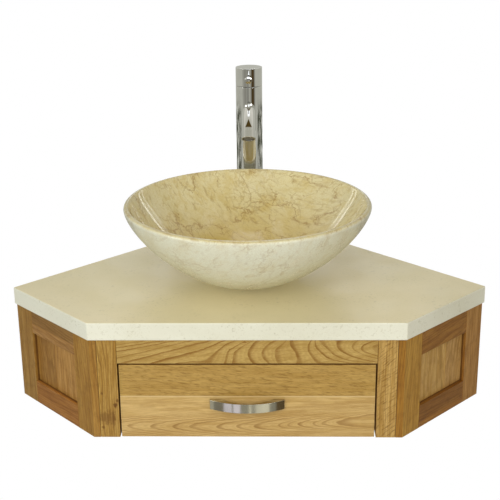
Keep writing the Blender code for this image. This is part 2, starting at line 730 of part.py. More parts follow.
def make_tap_head(lift):
    """The cap and its pin lever, with levels measured from the tilt axis.

    The rear half of the cap's rim is cut back, so that the cap can tilt.
    """
    ceiling = HEAD_HEIGHT - HEAD_CEILING
    profile = [
        (0.0, HEAD_HEIGHT),
        (TAP_RADIUS - HEAD_EDGE, HEAD_HEIGHT),
        (TAP_RADIUS, HEAD_HEIGHT - HEAD_EDGE),
        (TAP_RADIUS, 0.0),
        (HEAD_BORE, 0.0),
        (HEAD_BORE, ceiling),
        (HEAD_BOSS, ceiling),
        (HEAD_BOSS, HEAD_BOSS_RISE),
        (0.0, HEAD_BOSS_RISE),
    ]
    head = turned("tap_head", profile, CHROME, lift)
    wide = TAP_RADIUS + OVERRUN
    relief = box("head_relief", (-wide, 0.0, -wide), (wide, wide, 0.0), None, lift)
    centre = relief.location.copy()
    tilt = LIFT_ANGLE + LIFT_MARGIN
    relief.rotation_euler = (tilt, 0.0, 0.0)
    relief.location = (
        0.0,
        centre.y * math.cos(tilt) - centre.z * math.sin(tilt),
        centre.y * math.sin(tilt) + centre.z * math.cos(tilt),
    )
    cut(head, relief)
    half = STEM_WIDTH / 2 + SEAM
    socket_low = HEAD_BOSS_RISE - OVERRUN
    cut(head, box("stem_socket", (-half, -half, socket_low), (half, half, STEM_RISE + SEAM), None, lift))

    reach = TAP_RADIUS + OVERRUN
    hole = cylinder("lever_hole", LEVER_ROOT + SEAM, 0.0, reach, sides=SMALL_SEGMENTS, parent=lift)
    hole_start = HEAD_BORE - LEVER_BITE
    hole.location = (0.0, -hole_start - reach / 2, LEVER_RISE)
    hole.rotation_euler = (RIGHT_ANGLE, 0.0, 0.0)
    cut(head, hole)
    neck = TAP_RADIUS + SEAM
    lever_profile = [
        (0.0, LEVER_REACH),
        (LEVER_END - LEVER_ROUND, LEVER_REACH),
        (LEVER_END, LEVER_REACH - LEVER_ROUND),
        (LEVER_NECK, neck + LEVER_ROUND),
        (LEVER_NECK, neck),
        (LEVER_ROOT, neck),
        (LEVER_ROOT, HEAD_BORE + SEAM),
        (0.0, HEAD_BORE + SEAM),
    ]
    lever = turned("tap_lever", lever_profile, CHROME, lift, steps=SMALL_SEGMENTS)
    lever.location = (0.0, 0.0, LEVER_RISE)
    lever.rotation_euler = (RIGHT_ANGLE, 0.0, 0.0)


def side_name(side):
    return "right" if side > 0 else "left"


def side_board(name, side, along, inward, levels, parent, finish=OAK):
    """Timber in a side's own frame: along it from the cabinet's corner, and inward."""
    low = (min(side * along[0], side * along[1]), inward[0], levels[0])
    high = (max(side * along[0], side * along[1]), inward[1], levels[1])
    return board(name + "_" + side_name(side), low, high, finish, parent)


def make_side(side):
    """One panelled side, whose frame is turned an eighth from the front."""
    corner = (side * CORNER_X, CABINET_FRONT, 0.0)
    frame = guide("side_frame_" + side_name(side), corner, side * EIGHTH_TURN)
    depth = (0.0, SIDE_THICKNESS)
    full = (0.0, CABINET_HEIGHT)
    back = SIDE_LENGTH - SIDE_BACK_STILE
    side_board("side_back_stile", side, (back, SIDE_LENGTH), depth, full, frame)
    between = (SIDE_FRONT_STILE + SEAM, back - SEAM)
    top = CABINET_HEIGHT - SIDE_TOP_RAIL
    side_board("side_top_rail", side, between, depth, (top, CABINET_HEIGHT), frame)
    side_board("side_bottom_rail", side, between, depth, (0.0, SIDE_BOTTOM_RAIL), frame)
    panel_levels = (SIDE_BOTTOM_RAIL + SEAM, top - SEAM)
    panel_depth = (PANEL_RECESS, PANEL_RECESS + PANEL_THICKNESS)
    side_board("side_panel", side, between, panel_depth, panel_levels, frame)

    run = SIDE_FRONT_STILE * DIAGONAL
    thick = SIDE_THICKNESS * DIAGONAL
    outline = [
        (side * CORNER_X, CABINET_FRONT),
        (side * (CORNER_X + run), CABINET_FRONT + run),
        (side * (CORNER_X + run - thick), CABINET_FRONT + run + thick),
        (side * SPLIT_X, CABINET_FRONT + FRONT_THICKNESS),
        (side * SPLIT_X, CABINET_FRONT),
    ]
    stile = plate("side_front_stile_" + side_name(side), outline, 0.0, CABINET_HEIGHT, OAK)
    soften(stile, WOOD_ROUND)
    return frame


def make_front():
    back = CABINET_FRONT + FRONT_THICKNESS
    for side in (-1, 1):
        edges = sorted((side * OPENING_HALF, side * (SPLIT_X - SEAM)))
        low = (edges[0], CABINET_FRONT, 0.0)
        board("front_stile_" + side_name(side), low, (edges[1], back, CABINET_HEIGHT))
    half = OPENING_HALF - SEAM
    low = (-half, CABINET_FRONT, CABINET_HEIGHT - FRONT_RAIL)
    board("front_rail", low, (half, back, CABINET_HEIGHT))


def make_base():
    """The base panel, cut short of the corner so that pipes can come down the walls."""
    front = FRAME_BACK + BASE_SETBACK
    inset = SIDE_THICKNESS + SEAM
    front_half = CORNER_X + (front - CABINET_FRONT) - inset / DIAGONAL
    wall_y = CABINET_FRONT + (SIDE_LENGTH + inset) * DIAGONAL
    wall_half = CORNER_X + (SIDE_LENGTH - inset) * DIAGONAL
    outline = [
        (-front_half, front),
        (front_half, front),
        (wall_half, wall_y),
        (SERVICE_DEPTH, -SERVICE_DEPTH),
        (-SERVICE_DEPTH, -SERVICE_DEPTH),
        (-wall_half, wall_y),
    ]
    plate("base_panel", outline, 0.0, BASE_THICKNESS, BIRCH)


def make_back(side, frame):
    """A hanging rail along one wall, and the screws that hold it."""
    levels = (CABINET_HEIGHT - HANGING_HEIGHT, CABINET_HEIGHT)
    start = SIDE_THICKNESS + SEAM
    end = WALL_RUN - CORNER_POST - SEAM
    along = (SIDE_LENGTH - HANGING_THICKNESS, SIDE_LENGTH)
    rail = side_board("hanging_rail", side, along, (start, end), levels, frame, BIRCH)
    level = (levels[0] + levels[1]) / 2
    head = -WALL_SCREW_HEAD_THICKNESS
    profile = [
        (0.0, HANGING_THICKNESS - SEAM),
        (WALL_SCREW_RADIUS, HANGING_THICKNESS - SEAM),
        (WALL_SCREW_RADIUS, -SEAM),
        (WALL_SCREW_HEAD, -SEAM),
        (WALL_SCREW_HEAD, head),
        (0.0, head),
    ]
    for place, inward in (("front", start + WALL_SCREW_INSET), ("corner", end - WALL_SCREW_INSET)):
        name = "wall_screw_" + place + "_" + side_name(side)
        screw = turned(name, profile, ZINC, frame, steps=SMALL_SEGMENTS)
        screw.location = (side * along[0], inward, level)
        screw.rotation_euler = (0.0, side * RIGHT_ANGLE, 0.0)
        through = HANGING_THICKNESS + OVERRUN + OVERRUN
        bore = WALL_SCREW_RADIUS + SEAM
        hole = cylinder(name + "_hole", bore, 0.0, through, sides=SMALL_SEGMENTS, parent=frame)
        hole.location = (side * (along[0] + along[1]) / 2, inward, level)
        hole.rotation_euler = (0.0, RIGHT_ANGLE, 0.0)
        cut(rail, hole)


def make_corner_post():
    """The square post in the corner of the room, which joins the hanging rails."""
    corner = guide("room_corner", (0.0, 0.0, 0.0), EIGHTH_TURN)
    board("corner_post", (-CORNER_POST, -CORNER_POST, 0.0), (0.0, 0.0, CABINET_HEIGHT), BIRCH, corner)


def make_carriers():
    """The upright boards behind the front stiles that carry the runners."""
    start = CABINET_FRONT + FRONT_THICKNESS + SEAM
    outer = OPENING_HALF + CARRIER_THICKNESS
    end = -outer - (HANGING_THICKNESS + SEAM) / DIAGONAL
    for side in (-1, 1):
        edges = sorted((side * OPENING_HALF, side * outer))
        low = (edges[0], start, BASE_THICKNESS + SEAM)
        board("runner_carrier_" + side_name(side), low, (edges[1], end, CABINET_HEIGHT), BIRCH)


def channel(web, flange, height, metal, level, side):
    """A runner's outline across its length: web at one edge, flanges towards the other.

    Both edges are given as distances from the middle of the cabinet.
    """
    inward = 1 if flange > web else -1
    inner_web = web + inward * metal
    half = height / 2
    points = [
        (web, level - half),
        (flange, level - half),
        (flange, level - half + metal),
        (inner_web, level - half + metal),
        (inner_web, level + half - metal),
        (flange, level + half - metal),
        (flange, level + half),
        (web, level + half),
    ]
    return [(side * across, height_at) for across, height_at in points]


def runner(name, outline, start, end, parent=None):
    """A channel laid from front to back."""
    piece = plate(name, outline, start, end, ZINC, parent)
    piece.rotation_euler = (RIGHT_ANGLE, 0.0, 0.0)
    piece.location = (0.0, (start + end) / 2, 0.0)
    return piece


def make_runners(drawer):
    start = FRAME_BACK + RUNNER_SETBACK
    end = start + RUNNER_LENGTH
    level = DRAWER_LOW + RUNNER_LEVEL
    web = OPENING_HALF - SEAM
    slide_web = BOX_HALF + SEAM
    slide_height = RUNNER_HEIGHT - 2 * (RUNNER_METAL + RUNNER_PLAY)
    for side in (-1, 1):
        rail_outline = channel(web, web - RAIL_FLANGE, RUNNER_HEIGHT, RUNNER_METAL, level, side)
        runner("runner_rail_" + side_name(side), rail_outline, start, end)
        slide_edge = slide_web + SLIDE_FLANGE
        slide_outline = channel(slide_web, slide_edge, slide_height, RUNNER_METAL, level, side)
        slide = runner("runner_slide_" + side_name(side), slide_outline, start, end, drawer)
        slide.location = (0.0, (start + end) / 2 - CABINET_FRONT, 0.0)


def make_drawer(drawer):
    """The drawer, placed from an empty at the middle of its front face."""
    back_of_front = DRAWER_FRONT_THICKNESS
    start = BOX_FRONT - CABINET_FRONT
    end = BOX_BACK - CABINET_FRONT
    half = OPENING_HALF - DRAWER_GAP
    front_top = CABINET_HEIGHT - FRONT_RAIL - DRAWER_GAP
    low = (-half, 0.0, DRAWER_FLOOR_GAP)
    front = box("drawer_front", low, (half, back_of_front, front_top), OAK, drawer)
    soften(front, DRAWER_FRONT_ROUND, 2)
    for side in (-1, 1):
        label = side_name(side)
        edges = sorted((side * BOX_INNER, side * BOX_HALF))
        low = (edges[0], start, DRAWER_LOW)
        board("drawer_side_" + label, low, (edges[1], end, DRAWER_TOP), BIRCH, drawer)
        edges = sorted((side * (WELL_HALF + WELL_THICKNESS + SEAM), side * (BOX_INNER - SEAM)))
        low = (edges[0], end - DRAWER_BACK_THICKNESS, BOTTOM_TOP + SEAM)
        board("drawer_back_" + label, low, (edges[1], end, DRAWER_TOP), BIRCH, drawer)
    well_front = WELL_FRONT - CABINET_FRONT
    bottom_half = BOX_INNER - SEAM
    outline = [
        (-bottom_half, start),
        (bottom_half, start),
        (bottom_half, end),
        (WELL_HALF, end),
        (WELL_HALF, well_front),
        (-WELL_HALF, well_front),
        (-WELL_HALF, end),
        (-bottom_half, end),
    ]
    plate("drawer_bottom", outline, BOTTOM_LOW, BOTTOM_TOP, BIRCH, drawer)
    outer = WELL_HALF + WELL_THICKNESS
    well = [
        (-outer, well_front - WELL_THICKNESS),
        (outer, well_front - WELL_THICKNESS),
        (outer, end),
        (WELL_HALF, end),
        (WELL_HALF, well_front),
        (-WELL_HALF, well_front),
        (-WELL_HALF, end),
        (-outer, end),
    ]
    plate("drawer_well", well, BOTTOM_TOP + SEAM, DRAWER_TOP, BIRCH, drawer)
    return front


def arc_points(half, rise, base, steps):
    """Points along an arc from the left end to the right, bowed forward by its rise."""
    radius = (half ** 2 + rise ** 2) / (2 * rise)
    spread = math.asin(half / radius)
    points = []
    for step in range(steps + 1):
        turn = spread * (2 * step / steps - 1)
        points.append((radius * math.sin(turn), -(base + radius * math.cos(turn) - (radius - rise))))
    return points


def make_handle(drawer, front):
    outer = arc_points(HANDLE_LENGTH / 2, HANDLE_PROJECTION - HANDLE_END, HANDLE_END, SMALL_SEGMENTS)
    inner_rise = HANDLE_PROJECTION - HANDLE_STRAP - SEAM
    inner = arc_points(HANDLE_LENGTH / 2 - HANDLE_FOOT, inner_rise, SEAM, SMALL_SEGMENTS)
    half = HANDLE_LENGTH / 2
    outline = [(-half, -SEAM)] + outer + [(half, -SEAM)] + list(reversed(inner))
    low = HANDLE_LEVEL - HANDLE_HEIGHT / 2
    handle = plate("drawer_handle", outline, low, low + HANDLE_HEIGHT, STEEL, drawer)
    soften(handle, HANDLE_ROUND)
    start = -(DRAWER_FRONT_THICKNESS + SEAM)
    tip = SEAM + HANDLE_SCREW_BITE
    head = start - HANDLE_SCREW_HEAD_THICKNESS
    profile = [
        (0.0, tip),
        (HANDLE_SCREW_RADIUS, tip),
        (HANDLE_SCREW_RADIUS, start),
        (HANDLE_SCREW_HEAD, start),
        (HANDLE_SCREW_HEAD, head),
        (0.0, head),
    ]
    for side in (-1, 1):
        name = "handle_screw_" + side_name(side)
        screw = turned(name, profile, ZINC, drawer, steps=SMALL_SEGMENTS)
        hole_low = start - OVERRUN
        hole_high = tip + SEAM
        bore = HANDLE_SCREW_RADIUS + SEAM
        hole = cylinder(name + "_hole", bore, hole_low, hole_high, sides=SMALL_SEGMENTS, parent=drawer)
        across = side * (HANDLE_LENGTH / 2 - HANDLE_SCREW_INSET)
        screw.location = (across, 0.0, HANDLE_LEVEL)
        hole.location = (across, -(hole_low + hole_high) / 2, HANDLE_LEVEL)
        for piece in (screw, hole):
            piece.rotation_euler = (RIGHT_ANGLE, 0.0, 0.0)
        cut(front, hole)
        cut(handle, hole)


def main():
    make_worktop()
    floor = make_basin()
    make_waste(floor)
    make_tap_body()
    make_spout()
    swivel = guide("tap_swivel", (0.0, TAP_Y, PIVOT_Z))
    lift = guide("tap_lift", (0.0, 0.0, 0.0), parent=swivel)
    make_cartridge(swivel, lift)
    make_tap_head(lift)
    make_front()
    for side in (-1, 1):
        frame = make_side(side)
        make_back(side, frame)
    make_base()
    make_corner_post()
    make_carriers()
    drawer = guide("drawer_slide", (0.0, CABINET_FRONT, 0.0))
    make_runners(drawer)
    front = make_drawer(drawer)
    make_handle(drawer, front)
    bpy.context.view_layer.update()


main()
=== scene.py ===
"""Finishes for a corner vanity unit, laid out as an add-on.

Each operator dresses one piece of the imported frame, or a group of like pieces, and the
last one sets the stage. Metres, +Z up. The origin is the corner of the room at the level
of the cabinet's underside, and the drawer faces -Y.
"""

import math

import bmesh
import bpy
from bpy.props import FloatProperty, FloatVectorProperty, IntProperty, PointerProperty
from mathutils import Matrix, Vector


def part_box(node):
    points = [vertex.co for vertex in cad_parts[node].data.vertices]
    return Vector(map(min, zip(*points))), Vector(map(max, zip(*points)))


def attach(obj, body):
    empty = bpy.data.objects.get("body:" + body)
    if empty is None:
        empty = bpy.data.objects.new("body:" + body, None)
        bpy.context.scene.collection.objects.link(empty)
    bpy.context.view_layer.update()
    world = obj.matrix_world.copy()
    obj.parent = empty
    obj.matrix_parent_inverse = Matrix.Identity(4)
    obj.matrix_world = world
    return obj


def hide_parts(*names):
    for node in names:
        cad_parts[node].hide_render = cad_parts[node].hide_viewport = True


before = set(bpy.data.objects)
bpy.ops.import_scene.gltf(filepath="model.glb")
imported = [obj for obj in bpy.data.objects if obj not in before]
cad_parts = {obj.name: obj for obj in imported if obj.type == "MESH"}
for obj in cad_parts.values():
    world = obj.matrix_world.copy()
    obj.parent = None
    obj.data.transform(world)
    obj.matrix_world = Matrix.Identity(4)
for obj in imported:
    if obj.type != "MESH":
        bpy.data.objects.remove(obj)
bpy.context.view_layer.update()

bl_info = {
    "name": "Corner Vanity Unit",
    "version": (1, 0, 0),
    "blender": (4, 5, 0),
    "location": "3D View > Sidebar > Vanity Unit",
    "description": "Dresses the frame of a corner vanity unit in oak, stone and chrome",
    "category": "Object",
}

SIDES = {"left": -1, "right": 1}
WELD = 0.00002
# Depths of the reliefs of the finishes
OAK_RELIEF = 0.0002
STONE_RELIEF = 0.0001
MARBLE_RELIEF = 0.0003
METAL_RELIEF = 0.00005
PLASTIC_RELIEF = 0.0001
# A ring's usual width, and how far the rings wander
RING_WIDTH = 0.0015
RING_WARP = 0.004
# Waves of a placed figure: how many there are to a metre, and how far they push it
FIGURE_WAVES = ((60.0, 0.004), (260.0, 0.0012))
# Millimetres that the curves of a placed figure span: along the board, its lean and its bend
FIGURE_SPAN = 320.0
LEAN_SPAN = 8.0
BEND_SPAN = 0.5
FULL_TURN = math.tau
QUARTER_TURN = math.radians(90)
EIGHTH_TURN = math.radians(45)
SHARP = math.radians(32)
MILLIMETRE = 0.001
# Faces round a small hole, a boss or the lever, and along the handle's arc
SMALL_ROUND = 48
# How round some edges are, beside the usual ones of their kind
COLLAR_EDGE = 0.5
CORNER_ARRIS = 0.5
DRAWER_ARRIS = 1.3
HANDLE_EDGE = 0.7

# Worktop, from its packed box: walls at 45 degrees, short sides square to them
WORKTOP_LOW, WORKTOP_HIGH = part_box("worktop")
REACH = WORKTOP_HIGH.x
HALF_FRONT = 2 * REACH + WORKTOP_LOW.y
WASTE_HOLE = 0.023
TAP_HOLE = 0.0175

# Basin: the bowl's two faces are powers of the sine and cosine of one quarter turn
BASIN_LOW, BASIN_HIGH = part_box("basin")
BASIN_CENTRE = Vector(((BASIN_LOW.x + BASIN_HIGH.x) / 2, (BASIN_LOW.y + BASIN_HIGH.y) / 2, 0.0))
BASIN_RADIUS = (BASIN_HIGH.x - BASIN_LOW.x) / 2
BASIN_FOOT = 0.042
BASIN_FLOOR = 0.036
BASIN_FLOOR_THICKNESS = 0.018
BASIN_LIP = 0.006
BASIN_OUTER_SHARES = (1.33, 1.44)
BASIN_INNER_SHARES = (1.07, 1.70)
BASIN_STEPS = 32
LIP_STEPS = 12
LIP_BLEND = 10
# How long the curve from the wall to the lip holds the direction of each of its ends
LIP_EASES = (0.62, 0.35)

# Plug
PLUG_LOW, PLUG_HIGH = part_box("waste_plug")
PLUG_RADIUS = (PLUG_HIGH.x - PLUG_LOW.x) / 2
PLUG_CAP = 0.006
PLUG_EDGE = 0.003
PLUG_STEM = 0.004

# Tap, from the boxes of its body, head and spout
TAP_LOW, TAP_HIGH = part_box("tap_body")
TAP_CENTRE = Vector((0.0, (TAP_LOW.y + TAP_HIGH.y) / 2, 0.0))
TAP_RADIUS = (TAP_HIGH.x - TAP_LOW.x) / 2
HEAD_LOW, HEAD_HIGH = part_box("tap_head")
PIVOT = TAP_CENTRE + Vector((0.0, 0.0, HEAD_LOW.z))
TAP_WALL = 0.0055
TAP_BORE = 0.0178
TAP_POCKET = 0.028
HEAD_BOSS = 0.008
HEAD_BOSS_RISE = 0.013
HEAD_BOSS_DROP = 0.001
HEAD_TILT = math.radians(23.5)
RING_LOW, RING_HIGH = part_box("tap_base_ring")
RING_RADIUS = (RING_HIGH.x - RING_LOW.x) / 2
SPOUT_LOW, SPOUT_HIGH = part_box("tap_spout")
SPOUT_RADIUS = (SPOUT_HIGH.x - SPOUT_LOW.x) / 2
SPOUT_LEVEL = SPOUT_HIGH.z - SPOUT_RADIUS
SPOUT_INSET = 0.003
SPOUT_START = TAP_RADIUS - SPOUT_INSET
SPOUT_STRAIGHT = 0.010
SPOUT_BEND = 0.058
SPOUT_SWEEP = math.radians(56)
SPOUT_TAIL = 0.003
SPOUT_WALL = 0.0035
SPOUT_FACES = 64
SPOUT_STEPS = 36
COLLAR_GAP = 0.0003
COLLAR_LENGTH = 0.015
COLLAR_MOUTH = 0.0108
COLLAR_MOUTH_DEPTH = 0.006
COLLAR_BORE = 0.0085
COLLAR_STEP = 0.001
LEVER_RISE = 0.0185
LEVER_START = 0.0198
LEVER_ROOT = 0.0035
LEVER_NECK = 0.0042
LEVER_NECK_GAP = 0.0003
LEVER_SHOULDER = 0.003
LEVER_FLARE = 0.001
LEVER_DOME = 0.0016
LEVER_EDGE = 0.16

# Handle
HANDLE_LOW, HANDLE_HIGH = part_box("drawer_handle")
HANDLE_STRAP = 0.0035
HANDLE_END = 0.004
HANDLE_FOOT = 0.017

# Cabinet
RAIL_LOW, RAIL_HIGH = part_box("front_rail")
CABINET_FRONT = RAIL_LOW.y
FRAME_BACK = RAIL_HIGH.y
SIDE_NODES = ("side_back_stile", "side_top_rail", "side_bottom_rail", "side_panel")
DRAWER_LOW, DRAWER_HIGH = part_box("drawer_front")

# Birch boards: the way of their grain, a point in the middle of their tree, and their nodes
BIRCH_BOARDS = [
    ("birch_across", (1.0, 0.03, 0.02), (0.0, -0.3, -0.08),
     ("base_panel", "drawer_bottom", "drawer_back_left", "drawer_back_right")),
    ("birch_deep", (0.02, 1.0, 0.02), (0.09, 0.0, -0.05),
     ("drawer_side_left", "drawer_side_right", "drawer_well",
      "runner_carrier_left", "runner_carrier_right")),
    ("birch_upright", (0.02, 0.03, 1.0), (0.0, -0.12, 0.0), ("corner_post",)),
    ("birch_wall_left", (-1.0, -1.0, 0.03), (0.0, 0.05, 0.05), ("hanging_rail_left",)),
    ("birch_wall_right", (1.0, -1.0, 0.03), (0.0, 0.05, 0.05), ("hanging_rail_right",)),
]
ZINC_NODES = ("tap_stud", "tap_clamp_washer", "tap_stud_nut", "tilt_pin",
              "wall_screw_front_left", "wall_screw_front_right",
              "wall_screw_corner_left", "wall_screw_corner_right",
              "handle_screw_left", "handle_screw_right",
              "runner_rail_left", "runner_rail_right",
              "runner_slide_left", "runner_slide_right")


def colour(name, text, default):
    """A colour that a user may change."""
    return FloatVectorProperty(name=name, description=text, default=default, subtype="COLOR",
                               size=3, min=0.0, max=1.0)


def length(name, text, default):
    """A length that a user may change."""
    return FloatProperty(name=name, description=text, default=default, min=0.0, unit="LENGTH",
                         precision=4)


def shaded(tint, factors):
    """A colour times one factor, or times one for each of its three parts."""
    if isinstance(factors, float):
        factors = (factors, factors, factors)
    return tuple(part * factor for part, factor in zip(tint, factors))


class VanityStone(bpy.types.PropertyGroup):
    arris: length("Worktop arris", "Radius of the worktop's rounded edges", 0.0016)
    # The top's colour is partly the polished stone and partly painted warm light from above
    top: colour("Worktop top", "Polished top of the limestone", (0.66, 0.580, 0.358))
    edge: colour("Worktop edge", "Honed edges of the limestone", (0.80, 0.80, 0.68))
    speck: colour("Worktop speck", "Shell specks in the limestone", (0.46, 0.42, 0.24))
    bowl: colour("Bowl outside", "Honed outside of the marble bowl", (0.775, 0.785, 0.64))
    # The inside's golden colour is partly the polished marble and partly painted bounce light within the bowl
    polished: colour("Bowl inside", "Polished inside of the marble bowl", (0.715, 0.648, 0.378))
    vein: colour("Bowl vein", "Veins of the marble", (0.32, 0.19, 0.055))
    segments: IntProperty(name="Bowl segments", description="Faces round the bowl", default=144,
                          min=24, max=256)


class VanityOak(bpy.types.PropertyGroup):
    arris: length("Oak arris", "Radius of the boards' rounded edges", 0.0007)
    pale: colour("Oak pale", "Late wood between the pore rings", (0.60, 0.415, 0.150))
    tan: colour("Oak tan", "Broad streaks of the boards", (0.40, 0.235, 0.050))
    dark: colour("Oak dark", "Pore rings of the boards", (0.16, 0.075, 0.012))
    birch: colour("Birch", "Carcass and drawer box", (0.62, 0.46, 0.28))
    birch_dark: colour("Birch rings", "Ring lines of the carcass boards", (0.45, 0.30, 0.16))


class VanityMetal(bpy.types.PropertyGroup):
    chrome: colour("Chrome", "Plating of the tap and the waste", (0.70, 0.69, 0.655))
    steel: colour("Brushed steel", "Bow handle", (0.55, 0.51, 0.40))
    zinc: colour("Zinc", "Screws, runners and fixings", (0.52, 0.54, 0.56))
    brass: colour("Brass", "Back nut and cartridge stem", (0.60, 0.43, 0.16))
    edge: length("Metal edge", "Radius of the fittings' edges", 0.0006)
    segments: IntProperty(name="Tap segments", description="Faces round the tap", default=96,
                          min=24, max=256)


class VanityStage(bpy.types.PropertyGroup):
    floor: colour("Floor", "Plain pale floor", (0.90, 0.90, 0.89))
    floor_level: FloatProperty(name="Floor level", description="Height of the floor",
                               default=-0.55, unit="LENGTH")


def put(tree, kind, inputs=None, **settings):
    """Add a shader node, and give its inputs values or links."""
    node = tree.nodes.new("ShaderNode" + kind)
    for name, value in settings.items():
        setattr(node, name, value)
    for socket, value in (inputs or {}).items():
        feed(tree, node.inputs[socket], value)
    return node


def feed(tree, socket, value):
    """Link a socket to another one, or set its value."""
    if isinstance(value, bpy.types.NodeSocket):
        tree.links.new(value, socket)
    elif socket.type == "RGBA" and len(value) == 3:
        socket.default_value = (*value, 1.0)
    else:
        socket.default_value = value


def reckon(tree, operation, first, second=0.0, third=0.0):
    """A sum with up to three inputs, and the socket of its answer."""
    node = put(tree, "Math", {0: first, 1: second, 2: third}, operation=operation)
    return node.outputs[0]


def times(tree, first, *others):
    """The product of two or more values."""
    for other in others:
        first = reckon(tree, "MULTIPLY", first, other)
    return first


def apart(tree, first, second):
    """How far two values lie from each other."""
    return reckon(tree, "ABSOLUTE", reckon(tree, "SUBTRACT", first, second))


def combine(tree, operation, first, second=(0.0, 0.0, 0.0)):
    """A sum of two vectors. A length or a dot product gives a number, and the others a vector."""
    node = put(tree, "VectorMath", {0: first, 1: second}, operation=operation)
    return node.outputs["Value" if operation in ("LENGTH", "DOT_PRODUCT") else "Vector"]


def remap(tree, value, low, high, to_low=0.0, to_high=1.0):
    """Turn a range of values into another, held at its two ends."""
    inputs = {"Value": value, "From Min": low, "From Max": high, "To Min": to_low, "To Max": to_high}
    return put(tree, "MapRange", inputs, interpolation_type="SMOOTHSTEP").outputs[0]


def fade(tree, value, low, high):
    """One below a range of values, and nothing above it."""
    return remap(tree, value, low, high, 1.0, 0.0)


def between(tree, value, start, full, fading, end):
    """One inside a range of values and nothing outside it, soft at both ends."""
    return times(tree, remap(tree, value, start, full), fade(tree, value, fading, end))


def blend_colours(tree, factor, first, second, mode="MIX"):
    """The first colour, with the second one over it by a factor."""
    inputs = {0: factor, 6: first, 7: second}
    return put(tree, "Mix", inputs, data_type="RGBA", blend_type=mode).outputs[2]


def layered(tree, body, layers):
    """A colour with others laid over it in turn, each by its own mask."""
    for mask, tint in layers:
        body = blend_colours(tree, mask, body, tint)
    return body


def noise(tree, vector, scale, detail=2.0, roughness=0.5, distortion=0.0):
    """A grey noise, and the socket of its value."""
    inputs = {"Vector": vector, "Scale": scale, "Detail": detail, "Roughness": roughness,
              "Distortion": distortion}
    return put(tree, "TexNoise", inputs).outputs["Fac"]


def stretched(tree, vector, scale, turn=(0.0, 0.0, 0.0)):
    """The vector, turned and then scaled along its axes."""
    turned_vector = put(tree, "Mapping", {"Vector": vector, "Rotation": turn}).outputs[0]
    return put(tree, "Mapping", {"Vector": turned_vector, "Scale": scale}).outputs[0]


def wandered(tree, vector, scale, amount, detail=3.0, roughness=0.55):
    """The vector, pushed about by a soft noise of its own."""
    drift = put(tree, "TexNoise", {"Vector": stretched(tree, vector, scale), "Scale": 1.0,
                                   "Detail": detail, "Roughness": roughness}).outputs["Color"]
    shift = combine(tree, "SUBTRACT", drift, (0.5, 0.5, 0.5))
    shift = put(tree, "VectorMath", {0: shift, "Scale": amount}, operation="SCALE").outputs[0]
    return combine(tree, "ADD", vector, shift)


def group(name, inputs, outputs):
    """A new node group with named sockets, and its two end nodes."""
    tree = bpy.data.node_groups.new(name, "ShaderNodeTree")
    for label, kind, default in inputs:
        socket = tree.interface.new_socket(label, in_out="INPUT", socket_type="NodeSocket" + kind)
        if default is not None:
            socket.default_value = default
    for label, kind in outputs:
        tree.interface.new_socket(label, in_out="OUTPUT", socket_type="NodeSocket" + kind)
    return tree, tree.nodes.new("NodeGroupInput").outputs, tree.nodes.new("NodeGroupOutput").inputs


def growth_rings_group():
    """Ring numbers of a tree whose middle runs along the X axis."""
    tree, given, made = group("growth_rings", [
        ("Vector", "Vector", None), ("Ring", "Float", RING_WIDTH), ("Warp", "Float", RING_WARP),
    ], [("Rings", "Float")])
    warped = wandered(tree, given["Vector"], (9.0, 28.0, 28.0), given["Warp"])
    radius = combine(tree, "LENGTH", combine(tree, "MULTIPLY", warped, (0.0, 1.0, 1.0)))
    rings = reckon(tree, "DIVIDE", radius, given["Ring"])
    uneven = put(tree, "TexNoise", {"W": rings, "Scale": 0.31, "Detail": 1.0},
                 noise_dimensions="1D").outputs["Fac"]
    tree.links.new(reckon(tree, "MULTIPLY_ADD", uneven, 2.4, rings), made["Rings"])
    return tree


